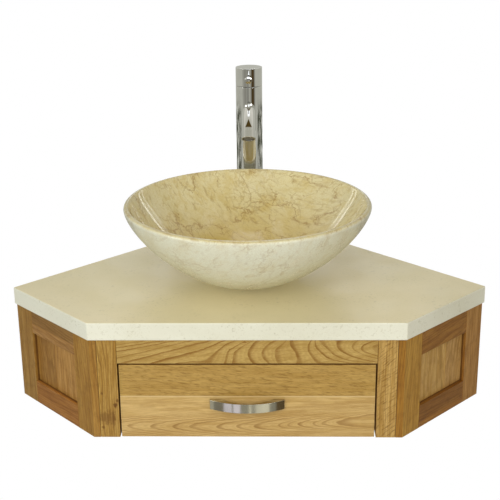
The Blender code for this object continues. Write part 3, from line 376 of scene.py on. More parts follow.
def wood_grain_group():
    """Dark ring lines, finer lines between them, pores, streaks and ray flecks along X."""
    tree, given, made = group("wood_grain", [
        ("Vector", "Vector", None), ("Fleck Vector", "Vector", None), ("Rings", "Float", 0.0),
        ("Contrast", "Float", 0.7), ("Soft", "Float", 0.6), ("Lines", "Float", 0.2),
        ("Streaks", "Float", 0.5), ("Pores", "Float", 0.5), ("Flecks", "Float", 0.2),
        ("Pale", "Color", None), ("Tan", "Color", None), ("Dark", "Color", None),
    ], [("Color", "Color"), ("Roughness", "Float"), ("Height", "Float")])

    def fibres(along, across, detail, roughness=0.5):
        """Noise drawn out along the grain, with so many waves to a metre."""
        vector = stretched(tree, given["Vector"], (along, across, across))
        return noise(tree, vector, 1.0, detail, roughness)

    rings = given["Rings"]
    strength = put(tree, "TexWhiteNoise", {"W": reckon(tree, "FLOOR", rings)},
                   noise_dimensions="1D").outputs["Value"]
    patchy = fibres(30.0, 130.0, 3.0, 0.6)
    band = times(tree, between(tree, reckon(tree, "FRACT", rings), 0.0, 0.09, 0.10, given["Soft"]),
                 remap(tree, strength, 0.0, 1.0, 0.60, 1.0), remap(tree, patchy, 0.30, 0.62, 0.62, 1.0))
    lesser = reckon(tree, "MULTIPLY_ADD", patchy, 1.6, times(tree, rings, 3.0))
    lesser = between(tree, reckon(tree, "FRACT", lesser), 0.0, 0.25, 0.3, 0.9)
    pores = remap(tree, fibres(120.0, 2600.0, 1.0), 0.56, 0.70)
    pores = times(tree, pores, remap(tree, band, 0.0, 0.6, 0.35, 1.0), given["Pores"])
    fine = fibres(40.0, 900.0, 4.0, 0.65)
    streak = times(tree, remap(tree, fibres(8.0, 150.0, 5.0, 0.72), 0.38, 0.62), given["Streaks"])
    flecks = noise(tree, given["Fleck Vector"], 1.0, 3.0, 0.6)
    flecks = times(tree, remap(tree, flecks, 0.50, 0.66), given["Flecks"])

    dark = given["Dark"]
    wood = blend_colours(tree, streak, given["Pale"], given["Tan"])
    wood = layered(tree, wood, [
        (times(tree, lesser, given["Lines"]), dark), (times(tree, band, given["Contrast"]), dark),
        (remap(tree, fine, 0.38, 0.70, 0.0, 0.30), dark), (times(tree, flecks, 0.65), dark),
        (times(tree, pores, 0.75), dark)])
    tree.links.new(wood, made["Color"])
    rough = reckon(tree, "MULTIPLY_ADD", band, 0.10, 0.40)
    tree.links.new(reckon(tree, "MULTIPLY_ADD", pores, 0.25, rough), made["Roughness"])
    height = reckon(tree, "MULTIPLY_ADD", pores, -1.0, times(tree, band, -0.35))
    tree.links.new(reckon(tree, "MULTIPLY_ADD", fine, 0.3, height), made["Height"])
    return tree


def stone_veins_group():
    """Thin wandering veins: long ridges and a net, each heavier in some places than in others."""
    tree, given, made = group("stone_veins", [
        ("Vector", "Vector", None), ("Scale", "Float", 14.0), ("Width", "Float", 0.05),
        ("Wander", "Float", 0.05), ("Ridge", "Float", 0.02),
    ], [("Mask", "Float"), ("Ridges", "Float")])
    moved = wandered(tree, given["Vector"], (13.0, 13.0, 13.0), given["Wander"], 5.0, 0.64)
    cells = put(tree, "TexVoronoi", {"Vector": moved, "Scale": given["Scale"]},
                feature="DISTANCE_TO_EDGE").outputs["Distance"]
    presence = remap(tree, noise(tree, moved, 11.0, 3.0), 0.45, 0.60)
    tree.links.new(times(tree, fade(tree, cells, 0.0, given["Width"]), presence), made["Mask"])
    level = noise(tree, moved, times(tree, given["Scale"], 0.55), 3.0, 0.5)
    ridge = fade(tree, apart(tree, level, 0.5), 0.0, given["Ridge"])
    broken = remap(tree, noise(tree, given["Vector"], 26.0, 3.0, 0.6), 0.38, 0.58)
    tree.links.new(times(tree, ridge, broken), made["Ridges"])
    return tree


def stone_specks_group():
    """Small soft specks and pits of stone."""
    tree, given, made = group("stone_specks", [
        ("Vector", "Vector", None), ("Scale", "Float", 300.0), ("Amount", "Float", 0.5),
    ], [("Mask", "Float"), ("Cloud", "Float")])
    vector, scale = given["Vector"], given["Scale"]
    fine = noise(tree, vector, scale, 3.0, 0.6)
    patches = noise(tree, vector, times(tree, scale, 0.12), 2.0)
    mask = times(tree, remap(tree, fine, 0.56, 0.72), remap(tree, patches, 0.35, 0.65), given["Amount"])
    tree.links.new(mask, made["Mask"])
    tree.links.new(noise(tree, vector, times(tree, scale, 0.035), 3.0, 0.55), made["Cloud"])
    return tree


def metal_wear_group():
    """Faint wiping marks and brushing, for the roughness and bump of a metal."""
    tree, given, made = group("metal_wear", [
        ("Vector", "Vector", None), ("Base", "Float", 0.08), ("Spread", "Float", 0.06),
        ("Brushing", "Vector", None),
    ], [("Roughness", "Float"), ("Height", "Float")])
    marks = remap(tree, noise(tree, given["Vector"], 45.0, 3.0, 0.6, 0.4), 0.4, 0.7)
    brushed = combine(tree, "MULTIPLY", given["Vector"], given["Brushing"])
    lines = noise(tree, brushed, 1.0, 2.0, 0.6)
    both = reckon(tree, "ADD", times(tree, marks, 0.6), times(tree, lines, 0.4))
    tree.links.new(reckon(tree, "MULTIPLY_ADD", both, given["Spread"], given["Base"]), made["Roughness"])
    tree.links.new(lines, made["Height"])
    return tree


GROUPS = {}


def place_group(tree, maker, inputs):
    """Place a shared node group, which is built the first time that it is asked for."""
    if maker not in GROUPS:
        GROUPS[maker] = maker()
    return put(tree, "Group", inputs, node_tree=GROUPS[maker]).outputs


def new_material(name):
    """A material with a plain Principled shader and its Object coordinates."""
    material = bpy.data.materials.new(name)
    material.use_nodes = True
    tree = material.node_tree
    shader = tree.nodes["Principled BSDF"]
    place = put(tree, "TexCoord").outputs["Object"]
    return material, tree, shader, place


def surface(tree, shader, tint, rough, height, strength, distance):
    """Give a material's shader its colour, its roughness and its relief."""
    feed(tree, shader.inputs["Base Color"], tint)
    feed(tree, shader.inputs["Roughness"], rough)
    inputs = {"Height": height, "Strength": strength, "Distance": distance}
    feed(tree, shader.inputs["Normal"], put(tree, "Bump", inputs).outputs[0])


def along_pith(tree, place, point, direction):
    """Coordinates whose X axis is the middle of the tree that a board was cut from."""
    turn = Vector(direction).to_track_quat("X", "Z").to_euler()
    inputs = {"Vector": place, "Location": point, "Rotation": turn}
    return put(tree, "Mapping", inputs, vector_type="TEXTURE").outputs[0]


def figure_curve(mapping, count, points):
    """Lay a curve through some points, straight from one to the next."""
    curve = mapping.curves[count]
    for number, point in enumerate(points):
        knot = curve.points[number] if number < 2 else curve.points.new(*point)
        knot.location = point
    for knot in curve.points:
        knot.handle_type = "VECTOR"


def placed_rings(tree, place, rings, level, tilt):
    """Ring numbers of a board face whose rings are placed one by one.

    Each ring is a row of millimetres: where it crosses the level, how far it leans for each
    millimetre up, and how it bends below and above the level.
    """
    moved = place
    for scale, amount in FIGURE_WAVES:
        moved = wandered(tree, moved, (scale, scale, scale), amount)
    x, _, z = put(tree, "SeparateXYZ", {0: moved}).outputs
    middle = reckon(tree, "MULTIPLY_ADD", reckon(tree, "MAXIMUM", x, 0.0), tilt, level)
    rise = reckon(tree, "DIVIDE", reckon(tree, "SUBTRACT", z, middle), MILLIMETRE)
    square = times(tree, rise, rise)
    above = reckon(tree, "GREATER_THAN", rise, 0.0)
    start = reckon(tree, "DIVIDE", x, FIGURE_SPAN * MILLIMETRE)
    ends = [(-FIGURE_SPAN, *rings[0][1:]), (FIGURE_SPAN, *rings[-1][1:])]
    across = start
    for _ in range(3):
        spread = put(tree, "CombineXYZ", dict.fromkeys(range(3), across)).outputs[0]
        curves = put(tree, "VectorCurve", {"Vector": spread})
        curves.mapping.extend = "HORIZONTAL"
        for count, scale in enumerate((LEAN_SPAN, BEND_SPAN, BEND_SPAN)):
            figure_curve(curves.mapping, count,
                         [(row[0] / FIGURE_SPAN, row[count + 1] / scale) for row in ends + rings])
        curves.mapping.update()
        lean, below_bend, above_bend = put(tree, "SeparateXYZ", {0: curves.outputs[0]}).outputs
        bend = put(tree, "Mix", {0: above, 2: below_bend, 3: above_bend}, data_type="FLOAT").outputs[0]
        bend = times(tree, bend, square, BEND_SPAN / FIGURE_SPAN)
        shift = times(tree, lean, rise, LEAN_SPAN / FIGURE_SPAN)
        across = reckon(tree, "SUBTRACT", start, reckon(tree, "ADD", shift, bend))
    number = put(tree, "FloatCurve", {"Value": reckon(tree, "MULTIPLY_ADD", across, 0.5, 0.5)})
    number.mapping.extend = "HORIZONTAL"
    # The ends lie 0.3 of a ring before the first one, and 0.75 of a ring past the last one
    total = len(rings) + 1.0
    points = [(0.0, 0.7 / total), (1.0, (total - 0.25) / total)]
    points += [(row[0] / FIGURE_SPAN / 2 + 0.5, (count + 1) / total) for count, row in enumerate(rings)]
    figure_curve(number.mapping, 0, points)
    number.mapping.update()
    return reckon(tree, "MULTIPLY_ADD", number.outputs[0], total, 0.06)


def grain(tree, place, look):
    """The figure of a board, from its look.

    Its pith and along are a point in the middle of its tree and the way that the tree grew. Its
    rings are placed one by one, or have a width, ring, and wander by warp. The others say how
    strong each mark is, how soon a ring's dark side fades, and how dark the wood is.
    """
    oak = bpy.context.scene.vanity_oak
    vector = along_pith(tree, place, look["pith"], look["along"])
    if "placed" in look:
        rings = placed_rings(tree, place, *look["placed"])
    else:
        rings = place_group(tree, growth_rings_group, {
            "Vector": vector, "Ring": look["ring"], "Warp": look["warp"]})[0]
    flecks = stretched(tree, place, look.get("fleck_scale", (60.0, 60.0, 700.0)),
                       look.get("fleck_turn", (0.0, 0.0, 0.0)))
    tone = look.get("tone", 1.0)
    shades = {label: look.get(label, shaded(base, tone))
              for label, base in (("Pale", oak.pale), ("Tan", oak.tan), ("Dark", oak.dark))}
    return place_group(tree, wood_grain_group, {
        "Vector": vector, "Fleck Vector": flecks, "Rings": rings,
        "Contrast": look["rings"], "Soft": look.get("soft", 0.6),
        "Lines": look.get("lines", 0.15), "Streaks": look["streaks"],
        "Pores": look["pores"], "Flecks": look.get("flecks", 0.2), **shades})


# Oak on the end of a side's front stile, which shows beside the front
END_TONE = (0.76, 0.66, 0.45)
# Oak in a knot; on a board's narrow edges, where oil and painted shade darken it; and inside the gap round
# the drawer, where the shade is painted
KNOT_TONE = (0.15, 0.060, 0.005)
EDGE_OIL_AND_SHADE = (0.12, 0.048, 0.010)
GAP_PAINTED_SHADE = (0.26, 0.09, 0.012)
# Width of the line of glue between two boards, painted lighter as a highlight, and the depth behind a face at
# which its painted shade is full
SEAM_WIDTH = 0.0018
SHADE_DEPTH = 0.0014
OAK_SHINE = 0.34


def knotted(tree, place, tint, knots):
    """A wood's colour, darker in its knots: x, z, half width, half height and strength."""
    for x, z, wide, high, strength in knots:
        spot = wandered(tree, place, (150.0, 150.0, 150.0), wide * 1.6)
        spot = combine(tree, "SUBTRACT", spot, (x, 0.0, z))
        away = combine(tree, "LENGTH", combine(tree, "MULTIPLY", spot, (1 / wide, 0.0, 1 / high)))
        tint = blend_colours(tree, times(tree, fade(tree, away, 0.35, 1.0), strength), tint, KNOT_TONE)
    return tint


def edge_shaded(tree, place, tint, look, face):
    """A wood's colour, darker with oil and painted shade on narrow edges behind a face: its outward way,
    level and clear depth.
    """
    outward, level, clear = face
    behind = reckon(tree, "SUBTRACT", level, combine(tree, "DOT_PRODUCT", place, outward))
    normal = put(tree, "NewGeometry").outputs["True Normal"]
    facing = reckon(tree, "ABSOLUTE", combine(tree, "DOT_PRODUCT", normal, outward))
    sideways = reckon(tree, "ABSOLUTE", put(tree, "SeparateXYZ", {0: place}).outputs[0])
    shade = times(tree, remap(tree, behind, clear, clear + SHADE_DEPTH), fade(tree, facing, 0.3, 0.7),
                  0.88, reckon(tree, "LESS_THAN", sideways, look.get("open", 1.0)))
    turned_away = remap(tree, facing, 0.80, 0.95, look.get("end", 0.0), 0.0)
    tint = blend_colours(tree, turned_away, tint, END_TONE, "MULTIPLY")
    return blend_colours(tree, shade, tint, look.get("gap", EDGE_OIL_AND_SHADE))


def oak_material(name, look, second=None, seam=None, face=None):
    """Oiled oak.

    A second look follows past the seam, where two boards are glued edge to edge, and a painted highlight runs
    along the seam. Some way behind the face, on the board's narrow edges, the wood is darker with oil and
    painted shade.
    """
    material, tree, shader, place = new_material(name)
    made = grain(tree, place, look)
    tint, height = made["Color"], made["Height"]
    if second:
        axis, level, seam_highlight = seam
        across = combine(tree, "DOT_PRODUCT", place, axis)
        past = reckon(tree, "GREATER_THAN", across, level)
        tint = blend_colours(tree, past, tint, grain(tree, place, second)["Color"])
        # The line along the seam is a painted highlight
        line = fade(tree, apart(tree, across, level), 0.0, SEAM_WIDTH)
        tint = blend_colours(tree, times(tree, line, 0.7), tint, seam_highlight)
        height = reckon(tree, "MULTIPLY_ADD", line, -0.8, height)
    tint = knotted(tree, place, tint, look.get("knots", ()))
    if face:
        tint = edge_shaded(tree, place, tint, look, face)
    shader.inputs["Specular IOR Level"].default_value = OAK_SHINE
    surface(tree, shader, tint, made["Roughness"], height, 0.35, OAK_RELIEF)
    return material


def birch_material(name, along, pith):
    """Birch plywood and boards: a paler and quieter figure than the oak's."""
    birch = bpy.context.scene.vanity_oak
    look = {"pith": pith, "along": along, "ring": 0.003, "rings": 0.30, "pores": 0.15,
            "flecks": 0.1, "streaks": 0.4, "warp": 0.006, "Pale": birch.birch,
            "Tan": shaded(birch.birch, 0.86), "Dark": birch.birch_dark}
    return oak_material(name, look)


def limestone_material():
    """Fine cream limestone: a polished top, and paler honed edges. The top's darker, yellower colour is
    partly the polish and partly painted warm light from above.
    """
    stone = bpy.context.scene.vanity_stone
    material, tree, shader, place = new_material("cream_limestone")
    specks, shells = (place_group(tree, stone_specks_group,
                                  {"Vector": place, "Scale": scale, "Amount": amount})
                      for scale, amount in ((420.0, 0.42), (170.0, 0.38)))
    normal = put(tree, "NewGeometry").outputs["Normal"]
    upward = put(tree, "SeparateXYZ", {0: normal}).outputs[2]
    hairs = stretched(tree, place, (40.0, 40.0, 150.0), (0.4, 0.9, 0.0))
    hairs = apart(tree, noise(tree, hairs, 1.0, 5.0, 0.7, 1.2), 0.5)
    hairs = times(tree, remap(tree, hairs, 0.0, 0.010, 0.30, 0.0), remap(tree, specks["Cloud"], 0.52, 0.66))
    body = layered(tree, stone.edge, [
        # Faces that look up take the top's colour, which holds painted warm light from above
        (remap(tree, upward, 0.55, 0.98), stone.top),
        (remap(tree, shells["Cloud"], 0.3, 0.7, 0.0, 0.24), stone.speck), (specks["Mask"], stone.speck),
        (shells["Mask"], shaded(stone.speck, 0.8)), (hairs, stone.speck)])
    rough = remap(tree, specks["Cloud"], 0.3, 0.7, 0.36, 0.48)
    surface(tree, shader, body, rough, specks["Mask"], 0.12, STONE_RELIEF)
    return material


# The bowl's inside: what is left of its red, green and blue in its darker clouds and mottle, and in the
# painted shade towards its floor; and of all in the painted shade on its lip.
# Then its palest clouds
DEEP_TONE_AND_SHADE_SHARES = (0.77, 0.62, 0.28)
LIP_SHADE_SHARE = 0.76
PALE_CLOUD = (0.78, 0.74, 0.58)


def marble_material():
    """Cream marble with brown veins: honed outside, polished inside, with painted bounce light inside and
    painted shade towards the floor and on the lip.
    """
    stone = bpy.context.scene.vanity_stone
    material, tree, shader, place = new_material("cream_marble")
    inside, depth, painted_lip_shade = (put(tree, "Attribute", attribute_name=name).outputs["Fac"]
                            for name in ("inside", "depth", "painted_lip_shade"))

    def by_side(outside, within):
        """A value for the honed outside, and another for the polished inside."""
        return remap(tree, inside, 0.0, 1.0, outside, within)

    flow = stretched(tree, place, (0.75, 1.5, 1.1), (0.35, 0.25, 0.75))
    thin = place_group(tree, stone_veins_group, {
        "Vector": flow, "Scale": 15.0, "Width": 0.030, "Wander": 0.085, "Ridge": 0.010})
    fine = place_group(tree, stone_veins_group, {
        "Vector": flow, "Scale": 37.0, "Width": 0.05, "Wander": 0.06, "Ridge": 0.016})
    specks = place_group(tree, stone_specks_group, {"Vector": place, "Scale": 330.0, "Amount": 0.7})
    clouds = noise(tree, flow, 13.0, 6.0, 0.65, 0.8)
    mottle = noise(tree, flow, 70.0, 5.0, 0.7, 0.6)
    grit = noise(tree, place, 520.0, 3.0, 0.7)
    drawn = stretched(tree, place, (16.0, 150.0, 60.0), (0.0, 0.0, math.radians(42)))
    drawn = times(tree, remap(tree, noise(tree, drawn, 1.0, 4.0, 0.6), 0.54, 0.68),
                  remap(tree, clouds, 0.36, 0.56), inside, 0.40)
    veins = reckon(tree, "MAXIMUM", thin["Mask"], thin["Ridges"])
    for lesser in (times(tree, fine["Ridges"], 0.55), times(tree, fine["Mask"], 0.6)):
        veins = reckon(tree, "MAXIMUM", veins, lesser)
    pits = times(tree, specks["Mask"], by_side(0.55, 0.30))

    deep_tone_and_shade = shaded(stone.polished, DEEP_TONE_AND_SHADE_SHARES)
    body = layered(tree, stone.bowl, [
        # The polished inside with painted bounce light, then painted shade towards the floor
        (inside, stone.polished), (remap(tree, depth, 0.2, 1.0, 0.0, 0.95), deep_tone_and_shade),
        # Painted shade on the lip's level top
        (painted_lip_shade, shaded(stone.polished, LIP_SHADE_SHARE)),
        (times(tree, remap(tree, clouds, 0.50, 0.72), by_side(0.16, 0.55)), deep_tone_and_shade),
        (times(tree, fade(tree, clouds, 0.30, 0.48), by_side(0.50, 0.24)), PALE_CLOUD),
        (times(tree, remap(tree, mottle, 0.46, 0.66), by_side(0.16, 0.34)), deep_tone_and_shade),
        (drawn, stone.vein), (times(tree, veins, by_side(0.30, 0.70)), stone.vein),
        (pits, stone.vein), (remap(tree, grit, 0.35, 0.70, 0.0, 0.16), stone.vein)])
    rough = reckon(tree, "MULTIPLY_ADD", pits, 0.2, by_side(0.26, 0.07))
    height = reckon(tree, "MULTIPLY_ADD", pits, -1.0, times(tree, clouds, 0.3))
    surface(tree, shader, body, rough, height, 0.10, MARBLE_RELIEF)
    return material


METALS = {}


def metal_material(name, tint, base, spread, brushing=(40.0, 40.0, 40.0), relief=0.02):
    """A plated or brushed metal, made once for each name."""
    if name in METALS:
        return METALS[name]
    material, tree, shader, place = new_material(name)
    wear = place_group(tree, metal_wear_group,
                       {"Vector": place, "Base": base, "Spread": spread, "Brushing": brushing})
    shader.inputs["Metallic"].default_value = 1.0
    soft = remap(tree, noise(tree, place, 30.0, 2.0), 0.35, 0.7)
    mixed = blend_colours(tree, soft, tint, shaded(tint, 0.93))
    surface(tree, shader, mixed, wear["Roughness"], wear["Height"], relief, METAL_RELIEF)
    METALS[name] = material
    return material


def chrome():
    """The bright plating of the tap and the waste."""
    return metal_material("bright_chrome", bpy.context.scene.vanity_metal.chrome, 0.035, 0.05)


def zinc():
    """The dull plating of the screws, the runners and the tap's fixings."""
    return metal_material("zinc_plate", bpy.context.scene.vanity_metal.zinc, 0.32, 0.18,
                          (90.0, 90.0, 600.0), 0.08)


def brass():
    """The turned brass of the back nut and the cartridge's stem."""
    return metal_material("turned_brass", bpy.context.scene.vanity_metal.brass, 0.24, 0.14,
                          (60.0, 60.0, 900.0), 0.06)


# Colours of the moulded parts
RUBBER = (0.025, 0.025, 0.025)
WHITE_PLASTIC = (0.72, 0.72, 0.70)
GREY_PLASTIC = (0.16, 0.16, 0.16)


def plastic_material(name, tint, rough, grit):
    """Moulded plastic or rubber with a fine grained skin."""
    material, tree, shader, place = new_material(name)
    skin = noise(tree, place, grit, 2.0, 0.6)
    mixed = blend_colours(tree, remap(tree, skin, 0.35, 0.7), tint, shaded(tint, 0.82))
    surface(tree, shader, mixed, remap(tree, skin, 0.3, 0.7, rough, rough + 0.12), skin, 0.12,
            PLASTIC_RELIEF)
    return material


def dress(material, *names):
    """Give CAD nodes that stay in view a better finish."""
    for name in names:
        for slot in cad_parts[name].material_slots:
            slot.material = material


def finished(shape, name, material, body, nodes):
    """Make the object of a finished bmesh, which stands for its CAD nodes."""
    mesh = bpy.data.meshes.new(name)
    shape.to_mesh(mesh)
    shape.free()
    mesh.materials.append(material)
    mesh.shade_smooth()
    mesh.set_sharp_from_angle(angle=SHARP)
    piece = bpy.data.objects.new(name, mesh)
    bpy.context.scene.collection.objects.link(piece)
    shading = piece.modifiers.new("even_shading", "WEIGHTED_NORMAL")
    shading.keep_sharp = True
    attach(piece, body)
    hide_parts(*nodes)
    return piece


def clean(shape):
    """Merge doubles, then turn the faces outwards."""
    bmesh.ops.remove_doubles(shape, verts=shape.verts, dist=WELD)
    bmesh.ops.recalc_face_normals(shape, faces=shape.faces)


def bevel(shape, edges, radius, segments=3):
    """Round some edges."""
    bmesh.ops.bevel(shape, geom=edges, offset=radius, offset_type="OFFSET", affect="EDGES",
                    segments=segments, profile=0.5, material=-1, clamp_overlap=True)


def round_edges(shape, radius):
    """Round every edge that turns by more than the sharp angle."""
    bevel(shape, [edge for edge in shape.edges
                  if len(edge.link_faces) == 2 and edge.calc_face_angle(0.0) > SHARP], radius)


def verts_of(parts):
    """The vertices among some new geometry."""
    return [part for part in parts if isinstance(part, bmesh.types.BMVert)]


def draw_out(shape, faces, height):
    """Extrude some faces, and lift their copy by a height."""
    made = bmesh.ops.extrude_face_region(shape, geom=faces)["geom"]
    bmesh.ops.translate(shape, verts=verts_of(made), vec=(0.0, 0.0, height))


def turned(profile, steps, closed=False):
    """Spin an outline of (radius, level) points round the Z axis."""
    shape = bmesh.new()
    verts = [shape.verts.new((radius, 0.0, level)) for radius, level in profile]
    pairs = list(zip(verts, verts[1:]))
    if closed:
        pairs.append((verts[-1], verts[0]))
    edges = [shape.edges.new(pair) for pair in pairs]
    bmesh.ops.spin(shape, geom=verts + edges, cent=(0.0, 0.0, 0.0), axis=(0.0, 0.0, 1.0),
                   angle=FULL_TURN, steps=steps, use_merge=True, use_duplicate=False)
    clean(shape)
    return shape


def chromed(profile, centre, name, body, node, closed=False):
    """Turn a chromed fitting, round its edges and set it on its centre."""
    metal = bpy.context.scene.vanity_metal
    shape = turned(profile, metal.segments, closed)
    round_edges(shape, metal.edge)
    move(shape, centre)
    finished(shape, name, chrome(), body, [node])


def move(shape, offset):
    """Move a whole shape by an offset."""
    bmesh.ops.translate(shape, verts=shape.verts, vec=offset)


def board(low, high, arris):
    """A planed board with softly rounded edges, between two corners."""
    shape = bmesh.new()
    bmesh.ops.create_cube(shape, size=1.0)
    bmesh.ops.scale(shape, verts=shape.verts, vec=high - low)
    move(shape, (low + high) / 2)
    round_edges(shape, arris)
    return shape


def prism(outline, low, high):
    """A flat outline of (x, y) points, drawn up between two levels."""
    shape = bmesh.new()
    face = shape.faces.new([shape.verts.new((x, y, low)) for x, y in outline])
    draw_out(shape, [face], high - low)
    bmesh.ops.recalc_face_normals(shape, faces=shape.faces)
    return shape


def sweep(shape, loop, centre, axis, angle, steps):
    """Spin some geometry about a centre, and give back its last copy."""
    made = bmesh.ops.spin(shape, geom=loop, cent=centre, axis=axis, angle=angle, steps=steps,
                          use_merge=False, use_duplicate=False)
    return made["geom_last"]


class VANITY_OT_worktop(bpy.types.Operator):
    """Make the five-sided stone worktop with its two holes"""
    bl_idname = "vanity.worktop"
    bl_label = "Worktop"

    def execute(self, context):
        shape = bmesh.new()
        outline = [(-HALF_FRONT, WORKTOP_LOW.y), (HALF_FRONT, WORKTOP_LOW.y), (REACH, -REACH),
                   (0.0, WORKTOP_HIGH.y), (-REACH, -REACH)]
        corners = [shape.verts.new((x, y, WORKTOP_HIGH.z)) for x, y in outline]
        for start, end in zip(corners, corners[1:] + corners[:1]):
            shape.edges.new((start, end))
        for radius, centre in ((WASTE_HOLE, BASIN_CENTRE), (TAP_HOLE, TAP_CENTRE)):
            spot = Matrix.Translation((0.0, centre.y, WORKTOP_HIGH.z))
            bmesh.ops.create_circle(shape, cap_ends=False, radius=radius, segments=SMALL_ROUND, matrix=spot)
        bmesh.ops.triangle_fill(shape, use_beauty=True, use_dissolve=False, edges=shape.edges,
                                normal=(0.0, 0.0, 1.0))
        draw_out(shape, shape.faces[:], WORKTOP_LOW.z - WORKTOP_HIGH.z)
        bmesh.ops.recalc_face_normals(shape, faces=shape.faces)
        round_edges(shape, context.scene.vanity_stone.arris)
        finished(shape, "stone_worktop", limestone_material(), "unit", ["worktop"])
        return {"FINISHED"}


def held(value):
    """A value, held between nothing and one."""
    return min(max(value, 0.0), 1.0)


def bowl_face(low, high, inner, outer, shares):
    """Points up one face of the bowl's wall, from its floor to below its lip."""
    across, upward = shares
    points = []
    for step in range(BASIN_STEPS + 1):
        turn = QUARTER_TURN * step / BASIN_STEPS
        radius = inner + (outer - inner) * math.sin(turn) ** across
        points.append((radius, low + (high - low) * (1 - max(math.cos(turn), 0.0) ** upward)))
    return points


class VANITY_OT_basin(bpy.types.Operator):
    """Turn the round marble bowl"""
    bl_idname = "vanity.basin"
    bl_label = "Basin"

    def execute(self, context):
        foot = BASIN_LOW.z
        floor = foot + BASIN_FLOOR_THICKNESS
        lip_level = BASIN_HIGH.z - BASIN_LIP
        lip_centre = BASIN_RADIUS - BASIN_LIP
        outer = bowl_face(foot, lip_level, BASIN_FOOT, BASIN_RADIUS, BASIN_OUTER_SHARES)
        inner = bowl_face(floor, lip_level, BASIN_FLOOR, lip_centre - BASIN_LIP, BASIN_INNER_SHARES)
        inner = inner[:BASIN_STEPS - LIP_BLEND]
        lip = self.eased(Vector(inner[-2]), Vector(inner[-1]), Vector((lip_centre, BASIN_HIGH.z)))
        for step in range(1, LIP_STEPS):
            turn = QUARTER_TURN * (1 - step / LIP_STEPS)
            lip.append((lip_centre + BASIN_LIP * math.cos(turn), lip_level + BASIN_LIP * math.sin(turn)))
        profile = list(reversed(outer)) + [(WASTE_HOLE, foot), (WASTE_HOLE, floor)] + inner + lip
        shape = turned(profile, context.scene.vanity_stone.segments, closed=True)
        self.mark(shape, floor, lip_level)
        move(shape, BASIN_CENTRE)
        finished(shape, "marble_basin", marble_material(), "unit", ["basin"])
        return {"FINISHED"}

    @staticmethod
    def mark(shape, floor, lip_level):
        """Mark what is polished inside, how deep it lies there for the painted shade towards the floor, and
        the level top of the lip, which is painted in shade.
        """
        shape.normal_update()
        inside, depth, painted_lip_shade = (shape.verts.layers.float.new(name)
                                for name in ("inside", "depth", "painted_lip_shade"))
        for vert in shape.verts:
            outward = Vector((vert.co.x, vert.co.y, 0.0)).normalized()
            # Polished where a face looks inwards or up, and full some way in from the lip's edge. The golden
            # colour there is partly painted bounce light
            within = max(-vert.normal.dot(outward), vert.normal.z - 0.35)
            reach = (BASIN_RADIUS - vert.co.xy.length) / (0.3 * BASIN_LIP)
            vert[inside] = held(min(0.5 + 3.0 * within, reach))
            # Painted shade, which grows towards the bowl's floor
            vert[depth] = held((lip_level - vert.co.z) / (lip_level - floor)) * vert[inside]
            # Painted shade on the lip's level top, which catches more light than the walls
            level = (vert.normal.z - 0.6) / 0.3 if vert.co.z > lip_level - BASIN_LIP else 0.0
            vert[painted_lip_shade] = held(level) * vert[inside]

    @staticmethod
    def eased(before, start, end):
        """Points of a curve that leaves the wall along its slope and meets the lip's top level."""
        slope = (start - before).normalized()
        leave = slope * (end.y - start.y) / slope.y * LIP_EASES[0]
        bends = [start, start + leave, end - Vector((LIP_EASES[1] * BASIN_LIP * 2, 0.0)), end]
        points = []
        for step in range(1, LIP_STEPS + 1):
            t = step / LIP_STEPS
            weights = ((1 - t) ** 3, 3 * t * (1 - t) ** 2, 3 * t * t * (1 - t), t ** 3)
            spot = sum((bend * weight for bend, weight in zip(bends, weights)), Vector((0.0, 0.0)))
            points.append(tuple(spot))
        return points


class VANITY_OT_waste(bpy.types.Operator):
    """Turn the domed plug, and finish the waste, its washer and nut"""
    bl_idname = "vanity.waste"
    bl_label = "Waste"

    def execute(self, context):
        top = PLUG_HIGH.z
        cap_low = top - PLUG_CAP
        dome = []
        for step in range(LIP_STEPS):
            share = step / LIP_STEPS
            dome.append((PLUG_RADIUS * share, top - PLUG_EDGE * share ** 2))
        profile = dome + [(PLUG_RADIUS, top - PLUG_EDGE), (PLUG_RADIUS, cap_low), (PLUG_STEM, cap_low),
                          (PLUG_STEM, PLUG_LOW.z), (0.0, PLUG_LOW.z)]
        chromed(profile, BASIN_CENTRE, "domed_plug", "plug", "waste_plug")
        dress(chrome(), "waste_body")
        dress(brass(), "waste_nut")
        dress(plastic_material("black_rubber", RUBBER, 0.62, 500.0), "waste_washer")
        return {"FINISHED"}


class VANITY_OT_tap_body(bpy.types.Operator):
    """Turn the tap's tall body and the ring at its foot"""
    bl_idname = "vanity.tap_body"
    bl_label = "Tap body"

    def execute(self, context):
        low, high = TAP_LOW.z, TAP_HIGH.z
        pocket = high - TAP_POCKET
        profile = [(0.0, pocket), (TAP_BORE, pocket), (TAP_BORE, high), (TAP_RADIUS, high),
                   (TAP_RADIUS, low), (0.0, low)]
        chromed(profile, TAP_CENTRE, "tall_tap_body", "unit", "tap_body")
        profile = [(TAP_BORE, RING_LOW.z), (RING_RADIUS, RING_LOW.z), (RING_RADIUS, RING_HIGH.z),
                   (TAP_BORE, RING_HIGH.z)]
        chromed(profile, TAP_CENTRE, "tap_foot_ring", "unit", "tap_base_ring", closed=True)
        return {"FINISHED"}


